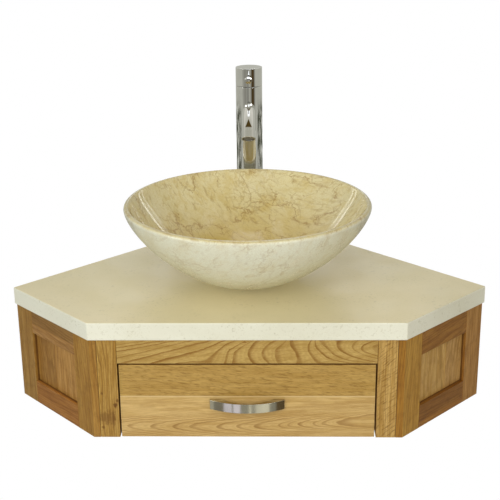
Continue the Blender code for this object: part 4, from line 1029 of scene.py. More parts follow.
class VANITY_OT_spout(bpy.types.Operator):
    """Bend the spout, and turn the collar at its end"""
    bl_idname = "vanity.spout"
    bl_label = "Spout"

    def execute(self, context):
        metal = context.scene.vanity_metal
        start = Vector((0.0, TAP_CENTRE.y - SPOUT_START, SPOUT_LEVEL))
        shape = bmesh.new()
        spot = Matrix.Translation(start) @ Matrix.Rotation(QUARTER_TURN, 4, "X")
        bmesh.ops.create_circle(shape, cap_ends=False, radius=SPOUT_RADIUS, segments=SPOUT_FACES, matrix=spot)
        straight = TAP_RADIUS + SPOUT_STRAIGHT - SPOUT_START
        loop = self.extend(shape, shape.verts[:] + shape.edges[:], Vector((0.0, -straight, 0.0)))
        bend_start = start + Vector((0.0, -straight, 0.0))
        centre = bend_start - Vector((0.0, 0.0, SPOUT_BEND))
        loop = sweep(shape, loop, centre, (1.0, 0.0, 0.0), SPOUT_SWEEP, SPOUT_STEPS)
        down = Vector((0.0, -math.cos(SPOUT_SWEEP), -math.sin(SPOUT_SWEEP)))
        self.extend(shape, loop, down * SPOUT_TAIL)
        clean(shape)
        bmesh.ops.solidify(shape, geom=shape.faces[:], thickness=SPOUT_WALL)
        bmesh.ops.recalc_face_normals(shape, faces=shape.faces)
        finished(shape, "bent_spout", chrome(), "unit", ["tap_spout"])

        end = centre + Vector((0.0, -math.sin(SPOUT_SWEEP), math.cos(SPOUT_SWEEP))) * SPOUT_BEND
        end += down * SPOUT_TAIL
        outer = SPOUT_RADIUS + COLLAR_STEP
        last = COLLAR_GAP + COLLAR_LENGTH
        shelf = last - COLLAR_MOUTH_DEPTH
        profile = [(outer, last), (outer, COLLAR_GAP), (COLLAR_BORE, COLLAR_GAP), (COLLAR_BORE, shelf),
                   (COLLAR_MOUTH, shelf), (COLLAR_MOUTH, last)]
        shape = turned(profile, metal.segments, closed=True)
        round_edges(shape, metal.edge * COLLAR_EDGE)
        turn = Matrix.Rotation(QUARTER_TURN + SPOUT_SWEEP, 4, "X")
        bmesh.ops.transform(shape, matrix=Matrix.Translation(end) @ turn, verts=shape.verts)
        finished(shape, "aerator_collar", chrome(), "unit", ["spout_collar"])
        return {"FINISHED"}

    @staticmethod
    def extend(shape, loop, offset):
        """Draw a ring of edges out by an offset, and give back its new end."""
        edges = [part for part in loop if isinstance(part, bmesh.types.BMEdge)]
        made = bmesh.ops.extrude_edge_only(shape, edges=edges)["geom"]
        verts = verts_of(made)
        bmesh.ops.translate(shape, verts=verts, vec=offset)
        ends = [part for part in made if isinstance(part, bmesh.types.BMEdge)
                and all(vert in set(verts) for vert in part.verts)]
        return verts + ends


class VANITY_OT_tap_head(bpy.types.Operator):
    """Turn the tilting head, with its rim cut back behind, and the pin lever"""
    bl_idname = "vanity.tap_head"
    bl_label = "Tap head and lever"

    def execute(self, context):
        metal = context.scene.vanity_metal
        self.head(metal)
        self.lever()
        dress(metal_material("bright_nut", metal.chrome, 0.12, 0.10), "cartridge_nut")
        dress(brass(), "cartridge_stem")
        dress(plastic_material("white_plastic", WHITE_PLASTIC, 0.35, 300.0), "cartridge_body")
        dress(plastic_material("grey_plastic", GREY_PLASTIC, 0.45, 300.0), "cartridge_rotor", "aerator")
        return {"FINISHED"}

    @staticmethod
    def head(metal):
        """A cap with a solid boss inside, which sits on the cartridge."""
        height = HEAD_HIGH.z - HEAD_LOW.z
        shape = turned([(0.0, height), (TAP_RADIUS, height), (TAP_RADIUS, 0.0)], metal.segments)
        round_edges(shape, metal.edge)
        plane = (0.0, -math.sin(HEAD_TILT), math.cos(HEAD_TILT))
        everything = shape.verts[:] + shape.edges[:] + shape.faces[:]
        bmesh.ops.bisect_plane(shape, geom=everything, dist=WELD / 4, plane_co=(0.0, 0.0, 0.0),
                               plane_no=plane, clear_inner=True)
        clean(shape)
        bmesh.ops.solidify(shape, geom=shape.faces[:], thickness=TAP_WALL)
        bmesh.ops.recalc_face_normals(shape, faces=shape.faces)
        boss_top = height - HEAD_BOSS_DROP
        boss = Matrix.Translation((0.0, 0.0, (HEAD_BOSS_RISE + boss_top) / 2))
        bmesh.ops.create_cone(shape, cap_ends=True, radius1=HEAD_BOSS, radius2=HEAD_BOSS,
                              segments=SMALL_ROUND, depth=boss_top - HEAD_BOSS_RISE, matrix=boss)
        move(shape, PIVOT)
        finished(shape, "tilting_head", chrome(), "tap_lift", ["tap_head"])

    @staticmethod
    def lever():
        """A pin that widens from its root, with a slightly domed end."""
        reach = PIVOT.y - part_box("tap_lever")[0].y
        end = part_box("tap_lever")[1].x
        neck = TAP_RADIUS + LEVER_NECK_GAP
        dome = [(end * step / LIP_STEPS, reach - LEVER_DOME * (step / LIP_STEPS) ** 2)
                for step in range(LIP_STEPS + 1)]
        profile = dome + [(LEVER_NECK + LEVER_FLARE, neck + LEVER_SHOULDER), (LEVER_NECK, neck),
                          (LEVER_ROOT, neck), (LEVER_ROOT, LEVER_START), (0.0, LEVER_START)]
        shape = turned(profile, SMALL_ROUND)
        rim = [edge for edge in shape.edges
               if all(vert.co.z > neck + LEVER_SHOULDER + LEVER_FLARE and vert.co.xy.length > end * 0.99
                      for vert in edge.verts)]
        bevel(shape, rim, end * LEVER_EDGE, 8)
        spot = Matrix.Translation(PIVOT + Vector((0.0, 0.0, LEVER_RISE)))
        turn = Matrix.Rotation(QUARTER_TURN, 4, "X")
        bmesh.ops.transform(shape, matrix=spot @ turn, verts=shape.verts)
        finished(shape, "pin_lever", chrome(), "tap_lift", ["tap_lever"])


# The rings that show on the front rail: rows of millimetres, as placed_rings takes them
RAIL_RINGS = [
    (-310, 7.0, 0.0, 0.0), (-270, 6.3, 0.0, 0.0), (-228, 5.6, 0.0, 0.0), (-177, 3.9, 0.0, 0.0),
    (-141, 3.6, 0.0, 0.0), (-96, 3.4, 0.0, 0.0), (-51, 1.0, 0.02, 0.01), (-31, 0.25, 0.0, 0.06),
    (-21, 0.15, 0.0, 0.08), (2, 0.1, 0.03, 0.02), (24, 0.0, 0.033, 0.04), (44, 0.0, 0.016, 0.05),
    (77, -0.6, -0.03, 0.0), (99, -0.6, 0.0, 0.035), (118, -1.1, 0.01, 0.025), (134, -1.0, 0.07, 0.0),
    (153, -1.5, 0.095, 0.05), (178, -2.0, 0.085, 0.085), (190, -2.3, 0.13, 0.13),
    (208, -2.55, 0.15, 0.15),
]
# Height of the level that the rings cross, and how steeply it rises right of the middle
RAIL_LEVEL = (0.150, 0.0)
# The tips of the rings that show low on the drawer front, and how they open
DRAWER_TIPS = (-300, -262, -228, -195, -158, -122, -95, -50, -18, 10, 50, 64, 81, 106, 120, 143, 236)
DRAWER_RINGS = [(tip, 0.0, 0.37, 0.37) for tip in DRAWER_TIPS]
DRAWER_LEVEL = (0.020, 0.05)

# The figure of each front board, as grain takes it
RAIL_LOOK = {"pith": (0.206, CABINET_FRONT + 0.010, 0.1625), "along": (-1.0, 0.135, -0.11),
             "placed": (RAIL_RINGS, *RAIL_LEVEL), "rings": 1.0, "soft": 0.48, "lines": 0.16,
             "Dark": (0.235, 0.105, 0.014),
             "streaks": 0.6, "pores": 0.8, "flecks": 0.15, "tone": (0.93, 0.935, 0.81)}
DRAWER_LOWER = {"pith": (0.20, CABINET_FRONT + 0.024, 0.027), "along": (-1.0, 0.034, -0.018),
                "placed": (DRAWER_RINGS, *DRAWER_LEVEL), "rings": 0.90, "soft": 0.46, "lines": 0.14,
                "Dark": (0.29, 0.15, 0.035),
                "streaks": 0.60, "pores": 0.2, "flecks": 0.1, "tone": (1.10, 1.11, 1.22)}
DRAWER_UPPER = {"pith": (0.0, CABINET_FRONT + 0.11, 0.02), "along": (-1.0, 0.01, 0.012),
                "ring": 0.0020, "rings": 0.12, "warp": 0.003, "streaks": 0.5, "pores": 0.8,
                "flecks": 0.72, "fleck_scale": (75.0, 85.0, 580.0),
                "fleck_turn": (0.0, math.radians(-8), 0.0), "tone": (0.94, 0.882, 0.67)}
# Where the drawer's two boards meet: the way across the seam, its height and the colour of the painted
# highlight along it
DRAWER_SEAM = ((0.0, 0.0, 1.0), 0.074, (0.72, 0.56, 0.29))
STILE_LOOKS = {
    "left": {"pith": (-0.27, CABINET_FRONT + 0.05, 0.0), "along": (0.06, 0.05, 1.0),
             "ring": 0.0036, "rings": 0.70, "warp": 0.009, "streaks": 0.9, "pores": 0.6,
             "lines": 0.3, "tone": (0.95, 0.86, 0.57),
             "knots": ((-0.2135, 0.058, 0.0050, 0.0060, 1.0), (-0.2100, 0.066, 0.0028, 0.0050, 0.9),
                       (-0.2340, 0.079, 0.0026, 0.0036, 0.8), (-0.2350, 0.018, 0.0032, 0.0036, 0.8),
                       (-0.217, 0.032, 0.0040, 0.024, 0.60), (-0.229, 0.036, 0.018, 0.018, 0.60))},
    "right": {"pith": (0.16, CABINET_FRONT + 0.09, 0.0), "along": (0.03, 0.02, 1.0),
              "ring": 0.0030, "rings": 0.45, "warp": 0.006, "streaks": 0.9, "pores": 1.0,
              "flecks": 1.0, "fleck_scale": (60.0, 80.0, 460.0),
              "fleck_turn": (0.0, math.radians(38), 0.0), "tone": (1.05, 0.992, 0.865)},
}

# How far behind its face the wood of a front board, and of a side board, is still clear of the painted shade
FRONT_CLEAR = 0.0004
SIDE_CLEAR = 0.0034


class VANITY_OT_front_frame(bpy.types.Operator):
    """Make the rail and the two stiles round the drawer's opening"""
    bl_idname = "vanity.front_frame"
    bl_label = "Front frame"

    def execute(self, context):
        arris = context.scene.vanity_oak.arris
        face = ((0.0, -1.0, 0.0), -CABINET_FRONT, FRONT_CLEAR)
        shape = board(*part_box("front_rail"), arris)
        # Inside the gap round the drawer the shade is painted
        material = oak_material("rail_oak", dict(RAIL_LOOK, gap=GAP_PAINTED_SHADE), face=face)
        finished(shape, "oak_front_rail", material, "unit", ["front_rail"])
        for side, look in STILE_LOOKS.items():
            node = "front_stile_" + side
            low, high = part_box(node)
            shape = board(low, high, arris)
            middle = abs(low.x + high.x) / 2
            material = oak_material("stile_oak_" + side, dict(look, open=middle, gap=GAP_PAINTED_SHADE), face=face)
            finished(shape, "oak_" + node, material, "unit", [node])
        return {"FINISHED"}


# Of each side board, how far aside the middle of its tree ran. All ran as deep behind their faces
SIDE_SPREADS = {"side_back_stile": 0.05, "side_top_rail": -0.03, "side_bottom_rail": 0.035,
                "side_panel": 0.02, "side_front_stile": -0.04}
SIDE_PITH_DEPTH = 0.06
# How much nearer the tree's middle ran to the second strip of a board glued from two
STRIP_SHIFT = 0.013


def side_look(side, name, centre):
    """The figure of one of the side boards, whose grain runs upright in stiles and panels."""
    outward = Vector((side, -1.0, 0.0)).normalized()
    level = Vector((side, 1.0, 0.0)).normalized()
    upright = Vector((0.0, 0.0, 1.0))
    along, across = (level, upright) if "rail" in name else (upright, level)
    pith = centre - outward * SIDE_PITH_DEPTH + across * SIDE_SPREADS[name]
    return {"pith": tuple(pith), "along": tuple(along + outward * 0.04 + across * 0.03),
            "ring": 0.0034, "rings": 0.42, "warp": 0.006, "streaks": 0.8, "pores": 0.45,
            "flecks": 0.3, "fleck_scale": (60.0, 60.0, 60.0)}


# How much darker or lighter than the front each side board is. A board glued from two strips, or painted in
# shadow along part of it, has a second tone, with the share of its width or height at which that begins
SIDE_TONES = {
    ("left", "side_back_stile"): ((0.70, 0.575, 0.38),),
    # The left top rail's darker upper tone is a painted shadow of the worktop's overhang
    ("left", "side_top_rail"): ((0.57, 0.45, 0.34), (0.74, 0.58, 0.50), 0.40, "below"),
    ("left", "side_bottom_rail"): ((0.70, 0.45, 0.25),),
    ("left", "side_panel"): ((0.66, 0.50, 0.31), (0.92, 0.74, 0.58), 0.54, "front"),
    ("left", "side_front_stile"): ((0.76, 0.60, 0.31),),
    ("right", "side_back_stile"): ((0.84, 0.65, 0.49),),
    ("right", "side_top_rail"): ((0.60, 0.40, 0.17),),
    ("right", "side_bottom_rail"): ((0.54, 0.35, 0.14), (0.68, 0.45, 0.20), 0.22, "below"),
    ("right", "side_panel"): ((0.98, 0.87, 0.84), (1.10, 1.02, 0.93), 0.62, "front"),
    ("right", "side_front_stile"): ((0.93, 0.76, 0.35),),
}


class VANITY_OT_side_frames(bpy.types.Operator):
    """Make the stiles, rails and recessed panels of both sides"""
    bl_idname = "vanity.side_frames"
    bl_label = "Side frames"

    def execute(self, context):
        arris = context.scene.vanity_oak.arris
        for side_name, side in SIDES.items():
            turn = Matrix.Rotation(side * EIGHTH_TURN, 4, "Z")
            for part in SIDE_NODES:
                node = part + "_" + side_name
                low, high = self.turned_box(node, turn.inverted())
                shape = board(low, high, arris)
                bmesh.ops.transform(shape, matrix=turn, verts=shape.verts)
                self.finish(shape, node, part, side_name, turn @ low, turn @ high)
            self.corner_stile(side_name, side, arris)
        return {"FINISHED"}

    def finish(self, shape, node, part, side_name, low, high):
        """Give a side board its oak, in two tones where it is glued from two strips or painted in shadow
        along part of it.
        """
        side = SIDES[side_name]
        outward = Vector((side, -1.0, 0.0)).normalized()
        forward = Vector((-side, -1.0, 0.0)).normalized()
        tone, *strip = SIDE_TONES[side_name, part]
        look = side_look(side, part, (low + high) / 2)
        look.update(tone=tone, end=1.0 if side_name == "right" else 0.0)
        second = seam = None
        if strip:
            strip_tone, share, place = strip
            pith = Vector(look["pith"]) + outward * STRIP_SHIFT
            second = dict(look, tone=strip_tone, pith=tuple(pith))
            axis = Vector((0.0, 0.0, -1.0)) if place == "below" else forward
            first, last = sorted(axis.dot(corner) for corner in (low, high))
            # The line along the seam is a painted highlight
            seam_highlight = shaded(shaded(strip_tone, 1.15), bpy.context.scene.vanity_oak.tan)
            seam = (tuple(axis), last - (last - first) * share, seam_highlight)
        level = max(outward.dot(low), outward.dot(high))
        face = None if part == "side_panel" else (tuple(outward), level, SIDE_CLEAR)
        material = oak_material("oak_" + node, look, second, seam, face)
        finished(shape, "oak_" + node, material, "unit", [node])

    @staticmethod
    def turned_box(node, turn):
        """A CAD node's lowest and highest corners in a side's own frame."""
        points = [turn @ vert.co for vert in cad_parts[node].data.vertices]
        low = Vector(min(point[axis] for point in points) for axis in range(3))
        high = Vector(max(point[axis] for point in points) for axis in range(3))
        return low, high

    def corner_stile(self, side_name, side, arris):
        """The stile that wraps the corner between the front and a side."""
        node = "side_front_stile_" + side_name
        low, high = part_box(node)
        turn = Matrix.Rotation(side * EIGHTH_TURN, 4, "Z")
        local_low, local_high = self.turned_box(node, turn.inverted())
        split = min(abs(low.x), abs(high.x))
        edge = side * self.corner_x(local_low.y)
        corner = (turn.inverted() @ Vector((edge, CABINET_FRONT, 0.0))).x
        far = max((local_low.x, local_high.x), key=lambda x: abs(x - corner))
        outer = turn @ Vector((far, local_low.y, 0.0))
        inner = turn @ Vector((far, local_high.y, 0.0))
        outline = [(edge, CABINET_FRONT), (outer.x, outer.y), (inner.x, inner.y),
                   (side * split, FRAME_BACK), (side * split, CABINET_FRONT)]
        shape = prism(outline, low.z, high.z)
        round_edges(shape, arris * CORNER_ARRIS)
        self.finish(shape, node, "side_front_stile", side_name, Vector((outer.x, outer.y, low.z)),
                    Vector((edge, CABINET_FRONT, high.z)))

    @staticmethod
    def corner_x(face):
        """How far out the cabinet's corner lies, where a side's face meets the front."""
        return -face / math.sin(EIGHTH_TURN) + CABINET_FRONT


class VANITY_OT_drawer_front(bpy.types.Operator):
    """Make the drawer front from two boards glued edge to edge"""
    bl_idname = "vanity.drawer_front"
    bl_label = "Drawer front"

    def execute(self, context):
        shape = board(DRAWER_LOW, DRAWER_HIGH, context.scene.vanity_oak.arris * DRAWER_ARRIS)
        face = ((0.0, -1.0, 0.0), -DRAWER_LOW.y, FRONT_CLEAR)
        material = oak_material("drawer_oak", DRAWER_LOWER, DRAWER_UPPER, DRAWER_SEAM, face)
        finished(shape, "oak_drawer_front", material, "drawer", ["drawer_front"])
        return {"FINISHED"}


class VANITY_OT_handle(bpy.types.Operator):
    """Bend the bow handle"""
    bl_idname = "vanity.handle"
    bl_label = "Bow handle"

    def execute(self, context):
        metal = context.scene.vanity_metal
        half = HANDLE_HIGH.x
        face, bow = HANDLE_HIGH.y, HANDLE_LOW.y
        shape = bmesh.new()
        outer = self.arc(shape, half, face - HANDLE_END, bow)
        inner = self.arc(shape, half - HANDLE_FOOT, face, bow + HANDLE_STRAP)
        for above, below in zip(outer, inner):
            corner = shape.verts.new((above.co.x, face, HANDLE_LOW.z))
            shape.edges.new((above, corner))
            shape.edges.new((corner, below))
        bmesh.ops.edgenet_fill(shape, edges=shape.edges, mat_nr=0, use_smooth=False, sides=0)
        draw_out(shape, shape.faces[:], HANDLE_HIGH.z - HANDLE_LOW.z)
        clean(shape)
        round_edges(shape, metal.edge * HANDLE_EDGE)
        steel = metal_material("brushed_steel", metal.steel, 0.09, 0.10, (9.0, 9.0, 2600.0), 0.06)
        finished(shape, "steel_bow_handle", steel, "drawer", ["drawer_handle"])
        return {"FINISHED"}

    @staticmethod
    def arc(shape, half, ends, bow):
        """An arc from the left to the right, bowed forward, and its two end vertices."""
        rise = ends - bow
        radius = (half ** 2 + rise ** 2) / (2 * rise)
        spread = 2 * math.asin(half / radius)
        start = shape.verts.new((-half, ends, HANDLE_LOW.z))
        made = bmesh.ops.spin(shape, geom=[start], cent=(0.0, bow + radius, HANDLE_LOW.z),
                              axis=(0.0, 0.0, 1.0), angle=spread, steps=SMALL_ROUND,
                              use_merge=False, use_duplicate=False)["geom_last"]
        return start, verts_of(made)[0]


class VANITY_OT_carcass(bpy.types.Operator):
    """Finish the birch boards of the carcass and the drawer box"""
    bl_idname = "vanity.carcass"
    bl_label = "Carcass"

    def execute(self, context):
        for name, along, pith, nodes in BIRCH_BOARDS:
            dress(birch_material(name, along, pith), *nodes)
        return {"FINISHED"}


class VANITY_OT_hardware(bpy.types.Operator):
    """Finish the screws, the runners and the tap's fixings"""
    bl_idname = "vanity.hardware"
    bl_label = "Screws and runners"

    def execute(self, context):
        dress(zinc(), *ZINC_NODES)
        return {"FINISHED"}


# Camera, as found from the straight edges of the photograph: turn, dip and tilt in degrees, its
# place, and its picture's side, focal length and principal point in pixels
CAMERA_ANGLES = (1.749, -17.334, 0.798)
CAMERA_PLACE = Vector((0.03438, -2.00176, 0.85197))
PHOTO_PIXELS = 500
FOCAL_PIXELS = 1009.22
PRINCIPAL_POINT = (238.24, 203.63)
SENSOR_MM = 36.0
VIEW_LIMIT = 60.0
FLOOR_RADIUS = 14.0
FLOOR_ROUND = 96

# Two reflectors before the unit, which only gloss shows: the low one in the handle and the high
# one in the tap. Each holds its lowest and highest level and its bands, as metres across the
# front and brightness
REFLECTOR_REACH = 2.6
REFLECTOR_DISTANCE = -1.77
REFLECTORS = {
    "low_reflector": (-1.70, -0.45, [
        (-2.2, 0.55), (-1.84, 0.55), (-1.78, 0.30), (-1.02, 0.26), (-0.96, 0.90), (-0.60, 0.90),
        (-0.57, 0.30), (-0.54, 0.30), (-0.52, 1.0), (-0.28, 1.0), (-0.25, 0.40), (0.03, 0.40),
        (0.065, 1.1), (0.10, 1.1), (0.13, 0.42), (0.24, 0.45), (0.28, 0.85), (0.50, 0.95),
        (0.54, 1.0), (0.82, 1.0), (0.88, 0.40), (1.22, 0.36), (1.30, 0.12), (2.2, 0.10)]),
    "high_reflector": (-0.45, 0.55, [
        (-2.6, 0.42), (-1.98, 0.43), (-1.44, 0.36), (-1.0, 0.29), (-0.67, 0.38), (-0.38, 0.31),
        (-0.12, 0.30), (0.12, 0.52), (0.38, 0.44), (0.60, 0.28), (0.78, 0.06), (1.50, 0.06),
        (1.98, 0.30), (2.6, 0.48)]),
}
# A band is warm. It is browner where it is darker than the first value, and cool where it is
# brighter than the second and lies left of the third
DARK_BAND = 0.3
BRIGHT_BAND = 0.85
COOL_LEFT_OF = -0.2
# Softboxes: place, size, power, tint, and whether they cast shadows
LAMPS = [
    ("key_softbox", (-1.38, -2.32, 1.00), (0.6, 1.3), 13.0, (1.0, 0.98, 0.93), True),
    ("fill_softbox", (1.27, -2.39, 1.00), (0.6, 1.3), 5.0, (1.0, 0.78, 0.50), True),
    ("high_softbox", (0.0, -2.2, 2.0), (2.2, 1.4), 16.0, (0.98, 1.0, 1.0), True),
    ("low_softbox", (0.0, -2.9, 0.8), (2.2, 1.2), 15.0, (0.98, 1.0, 1.0), True),
    ("top_softbox", (-0.25, -0.5, 2.2), (2.0, 1.2), 13.0, (1.0, 1.0, 0.98), False),
]
LAMP_AIM = Vector((0.0, -0.35, 0.15))
# Two windows of light before the unit, left and right: the turns that each spans, soft at its ends
WINDOW_TURNS = [(-1.40, -1.25, -0.90, -0.75), (0.42, 0.52, 0.80, 0.90)]
# The room's light from the left and the right, then the colours that only gloss shows
AMBIENT_LEFT = (0.30, 0.295, 0.28)
AMBIENT_RIGHT = (0.26, 0.24, 0.20)
SKY_BEHIND = (0.85, 0.84, 0.78)
SKY_BEFORE = (0.55, 0.55, 0.48)
SKY_BROWN = (0.10, 0.065, 0.018)
SKY_GLOW = (2.0, 2.1, 2.3)
ROOM = (0.56, 0.565, 0.51)
ROOM_LOW = (0.04, 0.045, 0.02)
ROOM_PALE = (0.78, 0.80, 0.76)
DUSK = (0.035, 0.04, 0.05)
WINDOW = (7.2, 7.4, 7.4)
# The line of the spout's end, along which the brown part of the sky is bounded
SPOUT_LINE = (0.0, -math.cos(SPOUT_SWEEP), -math.sin(SPOUT_SWEEP))


def band_colour(x, value):
    """The colour of a reflector's band."""
    brown = 0.6 * max(1.0 - value / DARK_BAND, 0.0)
    cool = 0.35 if value > BRIGHT_BAND and x < COOL_LEFT_OF else 0.0
    return (value * (1 + brown), value, value * (0.90 + cool - brown), 1.0)


def stage_object(scene, name, shape, material):
    """The object of a bmesh that belongs to the stage."""
    mesh = bpy.data.meshes.new(name)
    shape.to_mesh(mesh)
    shape.free()
    mesh.materials.append(material)
    thing = bpy.data.objects.new(name, mesh)
    scene.collection.objects.link(thing)
    return thing


class VANITY_OT_stage(bpy.types.Operator):
    """Lay the floor, hang the lights and place the camera"""
    bl_idname = "vanity.stage"
    bl_label = "Stage"

    def execute(self, context):
        scene = context.scene
        self.floor(scene)
        self.room(scene)
        for name, (low, high, bands) in REFLECTORS.items():
            self.reflector(scene, name, low, high, bands)
        for settings in LAMPS:
            self.lamp(*settings)
        self.camera(scene)
        scene.view_settings.view_transform = "Standard"
        return {"FINISHED"}

    @staticmethod
    def floor(scene):
        """A wide pale floor that the camera sees without shading."""
        stage = scene.vanity_stage
        shape = bmesh.new()
        spot = Matrix.Translation((0.0, 0.0, stage.floor_level))
        bmesh.ops.create_circle(shape, cap_ends=True, radius=FLOOR_RADIUS, segments=FLOOR_ROUND, matrix=spot)
        material, tree, shader, place = new_material("pale_floor")
        tint = blend_colours(tree, noise(tree, place, 1.5, 2.0), stage.floor, shaded(stage.floor, 0.97))
        feed(tree, shader.inputs["Base Color"], tint)
        shader.inputs["Roughness"].default_value = 0.9
        glow = put(tree, "Emission", {"Color": (1.0, 1.0, 1.0)})
        seen = put(tree, "LightPath").outputs["Is Camera Ray"]
        both = put(tree, "MixShader", {0: seen, 1: shader.outputs[0], 2: glow.outputs[0]})
        feed(tree, tree.nodes["Material Output"].inputs["Surface"], both.outputs[0])
        floor = stage_object(scene, "pale_floor", shape, material)
        floor.visible_glossy = False

    @staticmethod
    def reflector(scene, name, low, high, bands):
        """A banded card that lights nothing and shows only in glossy surfaces."""
        shape = bmesh.new()
        bmesh.ops.create_grid(shape, x_segments=1, y_segments=1, size=1.0)
        bmesh.ops.scale(shape, verts=shape.verts, vec=(REFLECTOR_REACH, (high - low) / 2, 1.0))
        spot = Matrix.Translation((0.0, REFLECTOR_DISTANCE, (low + high) / 2))
        turn = Matrix.Rotation(QUARTER_TURN, 4, "X")
        bmesh.ops.transform(shape, matrix=spot @ turn, verts=shape.verts)
        material, tree, _, place = new_material(name)
        across = put(tree, "SeparateXYZ", {0: place}).outputs[0]
        ramp = put(tree, "ValToRGB", {0: reckon(tree, "MULTIPLY_ADD", across, 0.5 / REFLECTOR_REACH, 0.5)})
        stops = ramp.color_ramp.elements
        for count, (x, value) in enumerate(bands):
            stop = stops[count] if count < 2 else stops.new(1.0)
            stop.position = x / REFLECTOR_REACH / 2 + 0.5
            stop.color = band_colour(x, value)
        glow = put(tree, "Emission", {"Color": ramp.outputs[0]})
        feed(tree, tree.nodes["Material Output"].inputs["Surface"], glow.outputs[0])
        material.cycles.emission_sampling = "NONE"
        card = stage_object(scene, name, shape, material)
        card.visible_camera = card.visible_diffuse = False
        card.visible_shadow = card.visible_transmission = False

    @staticmethod
    def room(scene):
        """A plain pale room, with windows and patches of light that only gloss shows."""
        world = bpy.data.worlds.new("studio_room")
        scene.world = world
        world.use_nodes = True
        tree = world.node_tree
        direction = put(tree, "TexCoord").outputs["Generated"]
        x, y, z = put(tree, "SeparateXYZ", {0: direction}).outputs
        aside = reckon(tree, "ABSOLUTE", x)
        turn = reckon(tree, "ARCTAN2", x, times(tree, y, -1.0))
        off = reckon(tree, "ABSOLUTE", turn)

        # A brown part of the sky that the spout's end cuts off, a glow high behind the unit,
        # another one before it, and a dusky band under that
        line = combine(tree, "DOT_PRODUCT", direction, SPOUT_LINE)
        wide = reckon(tree, "SUBTRACT", reckon(tree, "MULTIPLY_ADD", line, 2.1, 1.65), aside)
        brown = times(tree, remap(tree, wide, 0.0, 0.06), fade(tree, line, -0.390, -0.376),
                      fade(tree, y, -0.10, -0.04))
        over = times(tree, remap(tree, y, 0.05, 0.12), remap(tree, z, 0.28, 0.34),
                     fade(tree, aside, 0.14, 0.22))
        near = times(tree, between(tree, z, 0.20, 0.28, 0.60, 0.66), fade(tree, off, 0.30, 0.45))
        dusk = times(tree, between(tree, z, 0.0, 0.03, 0.16, 0.20), fade(tree, off, 0.25, 0.40))
        # Dark and pale patches low behind the unit, drawn out level
        patches = noise(tree, stretched(tree, direction, (2.6, 2.6, 115.0)), 1.0, 1.0)
        behind = times(tree, remap(tree, off, 1.15, 1.5), fade(tree, z, -0.210, -0.196))
        height = between(tree, z, 0.12, 0.16, 0.36, 0.42)
        windows = [(times(tree, between(tree, turn, *turns), height), WINDOW) for turns in WINDOW_TURNS]

        sky = blend_colours(tree, remap(tree, y, -0.55, 0.45), SKY_BEFORE, SKY_BEHIND)
        gloss = layered(tree, ROOM, [
            (remap(tree, z, 0.25, 0.50), sky), (brown, SKY_BROWN), (over, SKY_GLOW), (near, SKY_GLOW),
            (dusk, DUSK), (times(tree, behind, remap(tree, patches, 0.49, 0.53)), ROOM_LOW),
            (times(tree, behind, fade(tree, patches, 0.34, 0.40)), ROOM_PALE), *windows])
        path = put(tree, "LightPath").outputs
        soft = blend_colours(tree, remap(tree, x, -0.7, 0.7), AMBIENT_LEFT, AMBIENT_RIGHT)
        tint = layered(tree, soft, [(path["Is Glossy Ray"], gloss), (path["Is Camera Ray"], (1.0, 1.0, 1.0))])
        feed(tree, tree.nodes["Background"].inputs["Color"], tint)

    @staticmethod
    def lamp(name, place, size, power, tint, shadows):
        """A softbox that faces the unit and doesn't show in gloss."""
        light = bpy.data.lights.new(name, "AREA")
        light.shape = "RECTANGLE"
        light.size, light.size_y = size
        light.energy = power
        light.color = tint
        light.use_shadow = shadows
        lamp = bpy.data.objects.new(name, light)
        bpy.context.scene.collection.objects.link(lamp)
        lamp.location = place
        lamp.rotation_euler = (LAMP_AIM - Vector(place)).to_track_quat("-Z", "Y").to_euler()
        lamp.visible_glossy = False

    @staticmethod
    def camera(scene):
        """The camera of the photograph, with its middle off the picture's middle."""
        yaw, pitch, roll = (math.radians(angle) for angle in CAMERA_ANGLES)
        turn = Matrix.Rotation(yaw, 3, "Z") @ Matrix.Rotation(pitch, 3, "X") @ Matrix.Rotation(roll, 3, "Y")
        right, forward, up = turn.col
        lens = bpy.data.cameras.new("photo_camera")
        lens.sensor_width = SENSOR_MM
        lens.lens = FOCAL_PIXELS / PHOTO_PIXELS * SENSOR_MM
        lens.shift_x = (PHOTO_PIXELS / 2 - PRINCIPAL_POINT[0]) / PHOTO_PIXELS
        lens.shift_y = (PRINCIPAL_POINT[1] - PHOTO_PIXELS / 2) / PHOTO_PIXELS
        lens.clip_end = VIEW_LIMIT
        camera = bpy.data.objects.new("photo_camera", lens)
        scene.collection.objects.link(camera)
        facing = Matrix((right, up, -forward)).transposed().to_4x4()
        camera.matrix_world = Matrix.Translation(CAMERA_PLACE) @ facing
        scene.camera = camera


SETTINGS = {"vanity_stone": VanityStone, "vanity_oak": VanityOak, "vanity_metal": VanityMetal,
            "vanity_stage": VanityStage}
OPERATORS = [VANITY_OT_worktop, VANITY_OT_basin, VANITY_OT_waste, VANITY_OT_tap_body, VANITY_OT_spout,
             VANITY_OT_tap_head, VANITY_OT_front_frame, VANITY_OT_side_frames, VANITY_OT_drawer_front,
             VANITY_OT_handle, VANITY_OT_carcass, VANITY_OT_hardware, VANITY_OT_stage]


class VANITY_PT_sidebar(bpy.types.Panel):
    """The unit's sizes and colours, and a button for each piece"""
    bl_label = "Corner Vanity Unit"
    bl_idname = "VANITY_PT_sidebar"
    bl_space_type = "VIEW_3D"
    bl_region_type = "UI"
    bl_category = "Vanity Unit"

    def draw(self, context):
        for name, settings in SETTINGS.items():
            box = self.layout.box()
            for field in settings.__annotations__:
                box.prop(getattr(context.scene, name), field)
        for operator in OPERATORS:
            self.layout.operator(operator.bl_idname)


def register():
    for settings in SETTINGS.values():
        bpy.utils.register_class(settings)
    for operator in OPERATORS:
        bpy.utils.register_class(operator)
    bpy.utils.register_class(VANITY_PT_sidebar)
    for name, settings in SETTINGS.items():
        setattr(bpy.types.Scene, name, PointerProperty(type=settings))


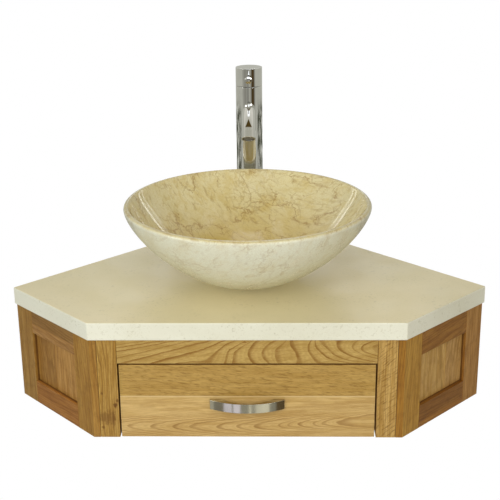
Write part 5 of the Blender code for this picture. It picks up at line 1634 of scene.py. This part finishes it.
def unregister():
    for name in SETTINGS:
        delattr(bpy.types.Scene, name)
    bpy.utils.unregister_class(VANITY_PT_sidebar)
    for operator in reversed(OPERATORS):
        bpy.utils.unregister_class(operator)
    for settings in SETTINGS.values():
        bpy.utils.unregister_class(settings)


def main():
    register()
    for operator in OPERATORS:
        family, name = operator.bl_idname.split(".")
        getattr(getattr(bpy.ops, family), name)()


if __name__ == "__main__":
    main()
